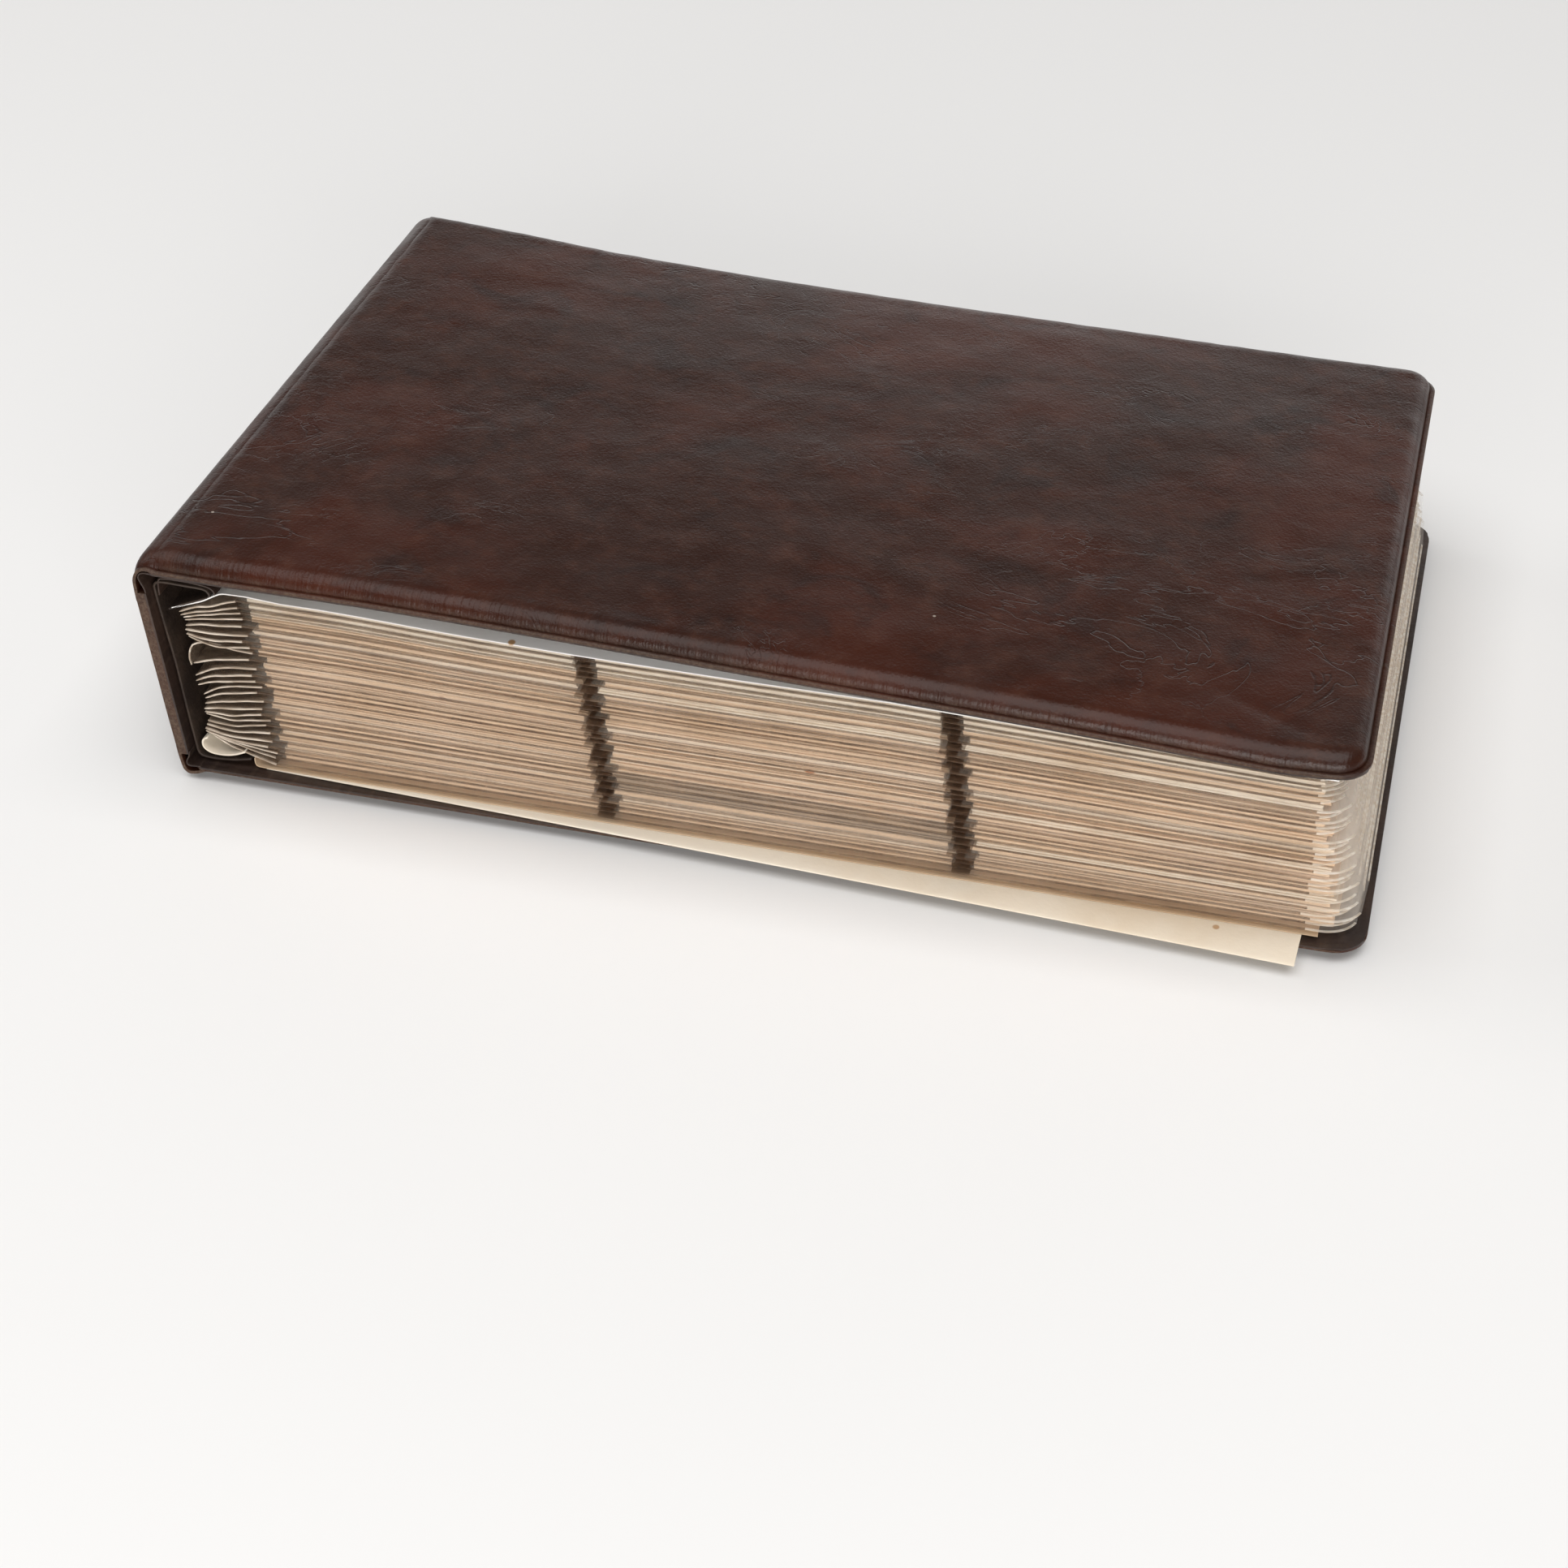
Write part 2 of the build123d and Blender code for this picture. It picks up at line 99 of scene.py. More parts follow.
# The stack of leaves.
LEAF_COUNT, TURNING = 26, 4
LEAF_HALF = 100.0
PITCH_SPINE, PITCH_FORE = 2.096, 1.854
STACK_LOW, STACK_HEIGHT = 5.5, 54.0
PAD_START, PAD_END = SPINE_EDGE + 21.8, SPINE_EDGE + 301.2
POCKET, POCKET_GAP, END_WELD, LEAF_RADIUS = 90.2, 4.4, 3.2, 9.0
LEAF_END = PAD_END + END_WELD
CARD_LENGTH = 165.0
CREASES = [hinge_place(f"leaf_{n:02d}_turn") for n in range(1, TURNING + 1)]

# How far the case and the stack leave their straight lines, along x, at the near and far sides.
WARP_X = [-160, -150, -143, -130, -112, -100, -78, -48, -6, 34, 74, 98, 112, 130, 140, 152]
FRONT_NEAR = [0.2, 0.3, 0.3, 0.7, 1.3, 1.6, 1.8, 1.75, 1.35, 1.05, 0.7, 0.3, 0.0, -0.5, 0.2, 1.0]
FRONT_FAR = [2.3, 2.0, 1.6, 0.9, -0.3, -1.1, -1.9, -2.6, -3.0, -3.0, -2.8, -2.7, -2.6, -2.4, -2.3, -2.2]
STACK_NEAR = [0.0, 0.0, 0.0, 0.1, 0.45, 0.3, -0.3, -0.5, 0.2, 1.2, 0.9, 0.5, 0.3, 0.0, 0.0, 0.0]
STACK_FAR = [0.0, 0.0, 0.0, 0.0, 0.0, -0.1, -0.4, -1.0, -1.7, -2.1, -2.3, -2.3, -2.3, -2.2, -2.2, -2.2]


def warp(near, far, x, y):
    """Height added at a point, between the amounts at the near and far sides."""
    share = min(max((y + HALF_WIDTH) / (2 * HALF_WIDTH), 0), 1)
    return float(np.interp(x, WARP_X, near)) * (1 - share) + float(np.interp(x, WARP_X, far)) * share


def stack_warp(x, y, z):
    """Height added in the stack: all of it at the top leaf, none at the bottom one."""
    share = min(max((z - STACK_LOW) / STACK_HEIGHT, 0), 1)
    return warp(STACK_NEAR, STACK_FAR, x, y) * share


def leaf_level(number, x, share):
    """Height of a leaf at a place along it, at a share of its thickness."""
    along = (x - PAD_START) / (PAD_END - PAD_START)
    pitch = PITCH_SPINE + (PITCH_FORE - PITCH_SPINE) * along
    return STACK_LOW + (LEAF_COUNT - number + share) * pitch


def leaf_shift(number):
    """How far a leaf sits from its place along the album: the stack leans, and no two line up."""
    own = 1.1 * math.sin(2.4 * number) if number > TURNING else 0.0
    return -2.2 + 4.4 * (number - 1) / (LEAF_COUNT - 1) + own


# ---------------------------------------------------------------- settings


class AlbumCaseSettings(bpy.types.PropertyGroup):
    """Sizes and colours of the padded case."""

    crown: FloatProperty(
        name="Crown", description="How far a cover rises to its middle", default=0.0008, unit="LENGTH"
    )
    gather: FloatProperty(
        name="Gather", description="Height of the gathers by the weld", default=0.00005, unit="LENGTH"
    )
    brown: FloatVectorProperty(
        name="Brown", description="Main colour", default=(0.0262, 0.0083, 0.0045), subtype="COLOR"
    )
    red_brown: FloatVectorProperty(
        name="Red brown", description="Warmer patches", default=(0.0460, 0.0108, 0.0048), subtype="COLOR"
    )
    trim: FloatVectorProperty(
        name="Trim", description="Cut edge of the weld", default=(0.125, 0.084, 0.056), subtype="COLOR"
    )


class AlbumLeafSettings(bpy.types.PropertyGroup):
    """Sizes and colours of the leaves and what they hold."""

    film: FloatProperty(
        name="Film", description="Thickness of the two welded films", default=0.0004, unit="LENGTH"
    )
    rim: FloatProperty(name="Rim", description="Thickness of a leaf's rim", default=0.0006, unit="LENGTH")
    card: FloatVectorProperty(
        name="Card", description="Colour of a card's edge", default=(0.80, 0.575, 0.385), subtype="COLOR"
    )
    cream: FloatVectorProperty(
        name="Cream card", description="The palest cards", default=(0.92, 0.81, 0.66), subtype="COLOR"
    )
    seed: IntProperty(name="Seed", description="Start of the random draws for the cards", default=11)


class AlbumStageSettings(bpy.types.PropertyGroup):
    """Floor, light and camera."""

    floor: FloatVectorProperty(
        name="Floor", description="Colour of the floor", default=(0.83, 0.825, 0.82), subtype="COLOR"
    )
    lens: FloatProperty(name="Lens", description="Focal length of the camera in millimetres", default=62.64)


# ---------------------------------------------------------------- modelling


def clear_selection():
    if bpy.context.mode != "OBJECT":
        bpy.ops.object.mode_set(mode="OBJECT")
    bpy.ops.object.select_all(action="DESELECT")


def make_active(piece):
    clear_selection()
    piece.select_set(True)
    bpy.context.view_layer.objects.active = piece


def named(name):
    piece = bpy.context.object
    piece.name = piece.data.name = name
    return piece


def apply_all(piece):
    make_active(piece)
    for modifier in list(piece.modifiers):
        bpy.ops.object.modifier_apply(modifier=modifier.name)
    return piece


def smooth(piece, angle=40):
    make_active(piece)
    bpy.ops.object.shade_smooth_by_angle(angle=math.radians(angle), keep_sharp_edges=False)
    return piece


def make_outward(piece):
    make_active(piece)
    bpy.ops.object.mode_set(mode="EDIT")
    bpy.ops.mesh.select_all(action="SELECT")
    bpy.ops.mesh.normals_make_consistent(inside=False)
    bpy.ops.object.mode_set(mode="OBJECT")
    return piece


def put_points(piece, place):
    """Moves every point of a piece to place(x, y, z), which gives millimetres."""
    mesh = piece.data
    points = np.empty(len(mesh.vertices) * 3, np.float32)
    mesh.vertices.foreach_get("co", points)
    moved = np.array([place(*p) for p in points.reshape(-1, 3).tolist()], np.float32) * MM
    mesh.vertices.foreach_set("co", moved.ravel())
    mesh.update()
    return piece


def station_grid(name, xs, ys):
    """A flat unit grid with a row of points for each station."""
    clear_selection()
    bpy.ops.mesh.primitive_grid_add(x_subdivisions=len(xs) - 1, y_subdivisions=len(ys) - 1, size=1)
    return named(name)


def station_at(places, u):
    """The station that a point of the unit grid stands for."""
    return places[round((u + 0.5) * (len(places) - 1))]


def grid_piece(name, xs, ys, place, thickness, edge=0.0):
    """A thin sheet with rounded edges: a grid put in place by place(x, y), then given its thickness."""
    piece = station_grid(name, xs, ys)
    put_points(piece, lambda u, v, _: place(station_at(xs, u), station_at(ys, v)))
    solid = piece.modifiers.new("thickness", "SOLIDIFY")
    solid.thickness, solid.offset, solid.use_even_offset = thickness * MM, 0.0, True
    if edge:
        bevel = piece.modifiers.new("edge", "BEVEL")
        bevel.width, bevel.segments, bevel.limit_method = edge * MM, 2, "ANGLE"
        bevel.angle_limit = math.radians(50)
    return make_outward(apply_all(piece))


def filled_piece(name, xs, ys, low, high):
    """A closed piece between two faces with one outline: a grid drawn up once in edit mode."""
    piece = station_grid(name, xs, ys)
    bpy.ops.object.mode_set(mode="EDIT")
    bpy.ops.mesh.select_all(action="SELECT")
    bpy.ops.mesh.extrude_region_move(TRANSFORM_OT_translate={"value": (0, 0, 1)})
    bpy.ops.object.mode_set(mode="OBJECT")

    def place(u, v, w):
        side = high if w > 0.5 else low
        return side(station_at(xs, u), station_at(ys, v))

    return make_outward(put_points(piece, place))


def fold_stations(count):
    """Stations that stand for the points of a folded line, and not for lengths along x."""
    return [("fold", i) for i in range(count)]


def stations(low, high, edge, step):
    """Places along a side: close together at both ends, and a step apart between them."""
    start, end = low + edge[-1], high - edge[-1]
    count = max(1, round((end - start) / step))
    inner = [start + (end - start) * i / count for i in range(1, count)]
    return [low + e for e in edge] + inner + [high - e for e in reversed(edge)]


def round_corner(x, y, x0, x1, half, r0, r1):
    """The point of a rounded outline that a point of the square one goes to."""
    fore = x > (x0 + x1) / 2
    r = r1 if fore else r0
    across = x - (x1 - r) if fore else (x0 + r) - x
    beyond = abs(y) - (half - r)
    if across <= 0 or beyond <= 0:
        return x, y
    k = max(across, beyond) / math.hypot(across, beyond)
    x = (x1 - r) + across * k if fore else (x0 + r) - across * k
    return x, math.copysign((half - r) + beyond * k, y)


def ease(t):
    t = min(max(t, 0.0), 1.0)
    return t * t * (3 - 2 * t)


def groove(d, middle, width):
    """How deep in a smooth groove a place at the distance d lies, from 0 to 1."""
    return math.exp(-(((d - middle) / width) ** 2))


def wave(x, y, z=0.0, seed=0.0):
    return noise.noise(Vector((x + seed, y + seed * 0.7, z + seed * 1.3)))


def curve_points(points, count):
    """Evenly spread places on a smooth line through some points."""
    ends = np.array([points[0], *points, points[-1]], float)
    t = (np.arange(12) / 12)[:, None]
    dense = [
        b + 0.5 * ((c - a) * t + (2 * a - 5 * b + 4 * c - d) * t**2 + (3 * b - a - 3 * c + d) * t**3)
        for a, b, c, d in zip(ends, ends[1:], ends[2:], ends[3:])
    ]
    dense = np.concatenate([*dense, ends[-1:]])
    run = np.concatenate([[0], np.cumsum(np.linalg.norm(np.diff(dense, axis=0), axis=1))])
    at = np.linspace(0, run[-1], count)
    return np.stack([np.interp(at, run, column) for column in dense.T], 1)


# ---------------------------------------------------------------- finishes


def node(tree, kind, operation=None, **inputs):
    """A shader node. An input takes a number, a colour or another node's output."""
    made = tree.nodes.new(kind)
    if operation:
        made.operation = operation
    for name, value in inputs.items():
        key = int(name[1:]) if name[0] == "i" and name[1:].isdigit() else name.replace("_", " ")
        if isinstance(value, bpy.types.NodeSocket):
            tree.links.new(value, made.inputs[key])
        else:
            made.inputs[key].default_value = value
    return made


def maths(tree, operation, *values):
    return node(tree, "ShaderNodeMath", operation, **{f"i{i}": v for i, v in enumerate(values)}).outputs[0]


def mixed(tree, share, first, second):
    made = tree.nodes.new("ShaderNodeMix")
    made.data_type = "RGBA"
    for socket, value in zip((made.inputs[0], made.inputs[6], made.inputs[7]), (share, first, second)):
        if isinstance(value, bpy.types.NodeSocket):
            tree.links.new(value, socket)
        else:
            socket.default_value = value if isinstance(value, (int, float)) else (*value, 1)
    return made.outputs[2]


def ranged(tree, value, low, high, to_low=0.0, to_high=1.0):
    made = tree.nodes.new("ShaderNodeMapRange")
    made.interpolation_type = "SMOOTHSTEP"
    tree.links.new(value, made.inputs[0])
    for i, v in enumerate((low, high, to_low, to_high), 1):
        made.inputs[i].default_value = v
    return made.outputs[0]


def coordinates(tree, scale=(1, 1, 1), turn=0.0):
    here = tree.nodes.new("ShaderNodeTexCoord").outputs["Object"]
    if scale == (1, 1, 1) and not turn:
        return here
    made = node(tree, "ShaderNodeMapping", Vector=here, Scale=scale)
    made.inputs["Rotation"].default_value = (0, 0, turn)
    return made.outputs[0]


def noise_value(tree, where, scale, detail=2.0, rough=0.5, distortion=0.0):
    settings = {"Scale": scale, "Detail": detail, "Roughness": rough, "Distortion": distortion}
    return node(tree, "ShaderNodeTexNoise", Vector=where, **settings).outputs[0]


def cells(tree, where, scale):
    return node(tree, "ShaderNodeTexVoronoi", Vector=where, Scale=scale).outputs["Distance"]


def clouds(tree, scale, detail, rough, low, high, first, second):
    """A soft mix of two colours in patches."""
    noise_here = noise_value(tree, coordinates(tree), scale, detail, rough)
    return mixed(tree, ranged(tree, noise_here, low, high), first, second)


def spotted(tree, colour, spot, scale, size, patch_scale, patch, stretch=(1, 1, 1)):
    """Small round spots over a colour, in scattered patches."""
    dots = ranged(tree, cells(tree, coordinates(tree, stretch), scale), *size, 1.0, 0.0)
    rare = ranged(tree, noise_value(tree, coordinates(tree), patch_scale, 1.0), *patch)
    return mixed(tree, maths(tree, "MULTIPLY", dots, rare), colour, spot)


def bump(tree, height, distance, below=None):
    made = node(tree, "ShaderNodeBump", Height=height, Strength=1.0, Distance=distance)
    if below is not None:
        tree.links.new(below, made.inputs["Normal"])
    return made.outputs[0]


def noise_bump(tree, scale, detail, distance, below=None):
    return bump(tree, noise_value(tree, coordinates(tree), scale, detail), distance, below)


def new_finish(name, roughness=0.5, **settings):
    """An empty principled finish and its tree."""
    made = bpy.data.materials.new(name)
    made.use_nodes = True
    inputs = made.node_tree.nodes["Principled BSDF"].inputs
    inputs["Roughness"].default_value = roughness
    for key, value in settings.items():
        inputs[key.replace("_", " ")].default_value = value
    return made, made.node_tree


def complete(made, colour, normal, roughness=None):
    """Joins a finish's colour and bumps, and its roughness where it varies, to its shader."""
    inputs = made.node_tree.nodes["Principled BSDF"].inputs
    made.node_tree.links.new(colour, inputs["Base Color"])
    made.node_tree.links.new(normal, inputs["Normal"])
    if roughness is not None:
        made.node_tree.links.new(roughness, inputs["Roughness"])
    return made


def side_coordinate(tree, axis):
    """The size of one coordinate, in metres, on either side of the middle."""
    parts = node(tree, "ShaderNodeSeparateXYZ", Vector=coordinates(tree))
    return maths(tree, "ABSOLUTE", parts.outputs[axis])


def crease_lines(tree, scale, turn, width, seed_shift):
    """Thin winding lines where a stretched noise crosses its middle, in scattered patches."""
    where = coordinates(tree, (1.0, 1.7, 1.0), turn)
    shift = (seed_shift, seed_shift * 1.7, 0.3)
    moved = node(tree, "ShaderNodeVectorMath", "ADD", i0=where, i1=shift).outputs[0]
    value = noise_value(tree, moved, scale, 4.0, 0.62, 1.1)
    line = ranged(tree, maths(tree, "ABSOLUTE", maths(tree, "SUBTRACT", value, 0.5)), 0.0, width, 1.0, 0.0)
    patch = ranged(tree, noise_value(tree, moved, scale * 0.42, 2.0), 0.54, 0.68)
    return maths(tree, "MULTIPLY", line, patch)


def leather_finish():
    """Padded vinyl in a fine leather grain: mottled browns, creases with painted shade along them, gathers by
    the welds, dust.
    """
    case = bpy.context.scene.album_case
    made, tree = new_finish("case_vinyl_grain", 0.4, Specular_IOR_Level=0.27)
    where = coordinates(tree)
    cloud = noise_value(tree, where, 13.0, 6.0, 0.62, 0.6)
    colour = mixed(tree, ranged(tree, cloud, 0.42, 0.66), tuple(case.brown), tuple(case.red_brown))
    fine = noise_value(tree, where, 120.0, 5.0, 0.7)
    colour = mixed(tree, ranged(tree, fine, 0.45, 0.75, 0.0, 0.35), colour, (0.085, 0.030, 0.016))
    dark = noise_value(tree, where, 46.0, 4.0, 0.6, 0.8)
    colour = mixed(tree, ranged(tree, dark, 0.52, 0.72, 0.0, 0.55), colour, (0.012, 0.0060, 0.0050))
    creases = 0.0
    for values in ((15.0, 0.5, 0.008, 3.1), (34.0, -0.35, 0.010, 8.7), (22.0, 1.3, 0.008, 14.3)):
        creases = maths(tree, "MAXIMUM", creases, crease_lines(tree, *values))
    # Painted shade: the colour darkens along the creases.
    colour = mixed(tree, maths(tree, "MULTIPLY", creases, 0.5), colour, (0.010, 0.005, 0.004))
    trim = node(tree, "ShaderNodeAttribute").outputs["Fac"]
    trim.node.attribute_name = "trim"
    sparkle = ranged(tree, noise_value(tree, where, 1500.0, 2.0, 0.8), 0.38, 0.72)
    worn = maths(tree, "MULTIPLY", trim, maths(tree, "MULTIPLY_ADD", sparkle, 0.75, 0.25))
    colour = mixed(tree, worn, colour, tuple(case.trim))
    colour = spotted(tree, colour, (0.30, 0.25, 0.21), 58.0, (0.018, 0.030), 31.0, (0.50, 0.54))
    rough = ranged(tree, noise_value(tree, where, 60.0, 4.0), 0.3, 0.7, 0.29, 0.39)
    rough = maths(tree, "ADD", rough, maths(tree, "MULTIPLY", worn, 0.3))

    pebbles = cells(tree, where, 1150.0)
    normal = bump(tree, maths(tree, "ADD", pebbles, noise_value(tree, where, 2300.0, 2.0)), 0.000045)
    normal = bump(tree, creases, -0.00007, normal)
    normal = bump(tree, noise_value(tree, where, 75.0, 3.0, 0.55, 0.4), 0.00022, normal)
    ripple = noise_value(tree, coordinates(tree, (1, 0.12, 0)), 620.0, 2.0, 0.6, 0.15)
    near_weld = ranged(tree, side_coordinate(tree, 1), 0.0915, 0.0985)
    normal = bump(tree, maths(tree, "MULTIPLY", ripple, near_weld), 0.00022, normal)
    return complete(made, colour, normal, rough)


def lining_finish():
    """The smoother vinyl inside the case and the guard."""
    made, tree = new_finish("lining_vinyl_plain", 0.5)
    colour = clouds(tree, 30.0, 5.0, 0.6, 0.35, 0.7, (0.022, 0.012, 0.009), (0.045, 0.024, 0.016))
    streak = noise_value(tree, coordinates(tree, (1, 0.08, 1)), 500.0, 2.0)
    colour = mixed(tree, ranged(tree, streak, 0.5, 0.7, 0.0, 0.3), colour, (0.085, 0.055, 0.036))
    grain = bump(tree, cells(tree, coordinates(tree), 900.0), 0.00005)
    return complete(made, colour, noise_bump(tree, 120.0, 3.0, 0.0005, grain))


def suede_finish():
    """The matt olive brown back of the guard's vinyl."""
    made, tree = new_finish("guard_vinyl_back", 0.62)
    colour = clouds(tree, 90.0, 5.0, 0.65, 0.35, 0.7, (0.020, 0.011, 0.007), (0.050, 0.031, 0.020))
    return complete(made, colour, noise_bump(tree, 900.0, 3.0, 0.0002))


def film_finish():
    """Clear vinyl: almost unseen face on, with a glossy skin."""
    made, tree = new_finish("clear_pocket_film", 0.1, Alpha=0.1, IOR=1.5)
    colour = clouds(tree, 40.0, 3.0, 0.5, 0.35, 0.7, (0.86, 0.78, 0.68), (0.95, 0.90, 0.84))
    return complete(made, colour, noise_bump(tree, 60.0, 2.0, 0.0003))


def film_light_and_shade_finish(name, alpha, dark, light, roughness):
    """Part-clear vinyl whose colour is painted light and shade: dark where shade falls between leaves, light
    where edges catch the light.
    """
    made, tree = new_finish(name, roughness, Alpha=alpha, IOR=1.5)
    streak = noise_value(tree, coordinates(tree, (0.12, 1, 1)), 900.0, 3.0)
    colour = mixed(tree, ranged(tree, streak, 0.35, 0.68), dark, light)
    return complete(made, colour, noise_bump(tree, 90.0, 2.0, 0.0002))


def card_finish():
    """Aged card: each card's own tint, fine layers along its edges, stains and a few rust spots."""
    made, tree = new_finish("aged_card", 0.75)
    tint = node(tree, "ShaderNodeAttribute")
    tint.attribute_name = "tint"
    layers = noise_value(tree, coordinates(tree, (0.05, 0.05, 1.0)), 2600.0, 2.0, 0.7)
    layers = ranged(tree, layers, 0.36, 0.64, 0.0, 0.34)
    colour = mixed(tree, layers, tint.outputs["Color"], (0.42, 0.28, 0.175))
    stain = noise_value(tree, coordinates(tree, (1, 1, 4.0)), 26.0, 4.0, 0.6)
    colour = mixed(tree, ranged(tree, stain, 0.50, 0.72, 0.0, 0.55), colour, (0.56, 0.36, 0.20))
    rust = (0.36, 0.115, 0.022)
    colour = spotted(tree, colour, rust, 36.0, (0.035, 0.062), 17.0, (0.52, 0.56), (1, 1, 1.6))
    return complete(made, colour, noise_bump(tree, 700.0, 3.0, 0.00008))


def paper_finish(name, light, dark):
    """Plain paper with soft stains and a fine fibre."""
    made, tree = new_finish(name, 0.7)
    colour = clouds(tree, 12.0, 5.0, 0.6, 0.42, 0.72, light, dark)
    colour = spotted(tree, colour, (0.45, 0.26, 0.12), 42.0, (0.03, 0.05), 21.0, (0.55, 0.6))
    return complete(made, colour, noise_bump(tree, 900.0, 3.0, 0.00006))


def metal_finish(name, light, dark, roughness):
    """Handled metal: brushed along, and duller in the hollows."""
    made, tree = new_finish(name, roughness, Metallic=1.0)
    tarnish = noise_value(tree, coordinates(tree), 160.0, 5.0, 0.65)
    rough = ranged(tree, tarnish, 0.3, 0.7, roughness, roughness + 0.22)
    scratches = noise_value(tree, coordinates(tree, (1, 0.1, 1)), 2600.0, 2.0)
    colour = mixed(tree, ranged(tree, tarnish, 0.38, 0.68), light, dark)
    return complete(made, colour, bump(tree, scratches, 0.00002), rough)


FINISHES = {}
MAKERS = {
    "leather": (leather_finish,),
    "lining": (lining_finish,),
    "suede": (suede_finish,),
    "film": (film_finish,),
    # painted shade: the dark rims at a leaf's near and far ends stand for the shade in the gaps between
    # leaves
    "rim": (film_light_and_shade_finish, "smoky_film_rim", 0.62, (0.10, 0.062, 0.040), (0.26, 0.18, 0.12), 0.12),
    # painted shade: the strip between two pockets is darkened for the shade in the stack's gaps there
    "seam": (film_light_and_shade_finish, "dark_pocket_weld", 0.4, (0.080, 0.044, 0.026), (0.21, 0.130, 0.082), 0.25),
    # painted highlight: the fore edge's rims are coloured light for the glassy sheen of the film
    "fore_rim": (film_light_and_shade_finish, "glassy_film_rim", 0.5, (0.72, 0.62, 0.50), (0.95, 0.90, 0.82), 0.06),
    # painted shade: the margins' faces are darkened for the shade under and between them
    "margin": (film_light_and_shade_finish, "smoky_margin_film", 0.55, (0.17, 0.115, 0.08), (0.34, 0.26, 0.19), 0.22),
    # painted light: the margins' end edges are coloured light where they catch the light
    "margin_rim": (film_light_and_shade_finish, "milky_margin_edge", 0.9, (0.40, 0.31, 0.23), (0.76, 0.66, 0.55), 0.3),
    "card": (card_finish,),
    "white": (paper_finish, "white_title_paper", (0.90, 0.885, 0.87), (0.80, 0.77, 0.73)),
    "cream": (paper_finish, "cream_loose_card", (0.80, 0.72, 0.60), (0.70, 0.58, 0.43)),
    "tan": (paper_finish, "tan_backing_paper", (0.58, 0.43, 0.29), (0.47, 0.32, 0.19)),
    "brass": (metal_finish, "post_brass", (0.72, 0.55, 0.26), (0.45, 0.31, 0.13), 0.28),
    "silver": (metal_finish, "coin_nickel", (0.62, 0.60, 0.57), (0.36, 0.34, 0.31), 0.24),
    "bronze": (metal_finish, "coin_bronze", (0.60, 0.38, 0.17), (0.30, 0.16, 0.07), 0.28),
}


def finish(name):
    if name not in FINISHES:
        maker, *values = MAKERS[name]
        FINISHES[name] = maker(*values)
    return FINISHES[name]


def settle(piece, angle, finish_name, slot, body, *nodes):
    """Smooths and dresses a piece. If it has one body, it rides on that in the place of CAD nodes."""
    if angle:
        smooth(piece, angle)
    piece.data.materials.clear()
    piece.data.materials.append(finish(finish_name))
    if body:
        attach(piece, body)
    if nodes:
        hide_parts(*nodes)
    return piece


def mark(piece, name, value):
    """A number at each point of a piece for its finish to read, from value(x, y, z) in millimetres."""
    values = [value(*(v.co / MM)) for v in piece.data.vertices]
    piece.data.attributes.new(name, "FLOAT", "POINT").data.foreach_set("value", values)


def mark_sides(piece, half, reach, strength):
    """Where the cut edge of a strip shows its rough core, along its two open ends."""
    soft = reach - 0.1
    mark(piece, "trim", lambda x, y, z: float(ease((reach - (half - abs(y))) / soft) * strength))


# ---------------------------------------------------------------- covers

WELD_WIDTH = 1.5
LINING_THICKNESS = 0.5
EDGE = [0, 0.4, 0.8, 1.2, 1.5, 1.6, 1.8, 2.15, 2.6, 3.2, 4.0, 5.0, 6.2, 7.6, 9.2]
LINING_EDGE = [0, 0.6, 1.6, 2.5, 3.2, 5.0]
FRONT_STEP, BACK_STEP, LINING_STEP = 1.55, 2.4, 6.0


def inset(x, y):
    """Distance inside a cover's outline, which starts at x = 0. The skin runs on over the hinge there."""
    return min(x + 1.8, COVER_LENGTH - x, HALF_WIDTH - abs(y))


def pad_height(d, full, bulge):
    """Height of a padded side over its board, from the outline inwards: weld, rounded bead, crown."""
    if d < WELD_WIDTH:
        return 0.8 - 0.25 * ease(1 - d / 0.6) - 0.22 * ease((d - WELD_WIDTH + 0.4) / 0.4)
    t = min((d - WELD_WIDTH) / 5.2, 1.0)
    rise = math.sqrt(1 - (1 - t) ** 2)
    return 0.58 + (full - 0.58) * rise + bulge * (1 - math.exp(-max(d - 6, 0) / 24))


def unevenness(x, y, d, gather):
    """Soft waves of the padding and the gathers beside its weld."""
    inner = ease((d - 3) / 14)
    slow = 0.30 * wave(x / 62, y / 48, seed=2.1) + 0.16 * wave(x / 21, y / 15, seed=5.7)
    crumple = 0.05 * wave(x / 9 + wave(x / 26, y / 26) * 1.4, y / 8, seed=9.4)
    beside = ease((d - 1.8) / 1.2) * ease((12 - d) / 8)
    along = x if HALF_WIDTH - abs(y) < min(x, COVER_LENGTH - x) else y
    pucker = gather / MM * wave(along / 4.5, d / 9, seed=1.9 + math.copysign(1, y)) * 2
    return inner * (slow + crumple) + beside * pucker


def front_place(x, y, z):
    """A place on the front cover, from its own length, width and height, in the row frame."""
    row_x = FRONT_EDGE_X + x * math.cos(FRONT_TILT) + z * math.sin(FRONT_TILT)
    row_z = FRONT_UNDERSIDE - x * math.sin(FRONT_TILT) + z * math.cos(FRONT_TILT)
    return row_x, y, row_z + warp(FRONT_NEAR, FRONT_FAR, row_x, y)


def back_place(x, y, z):
    """The same on the back cover, which lies flat."""
    return SPINE_EDGE + x, y, z


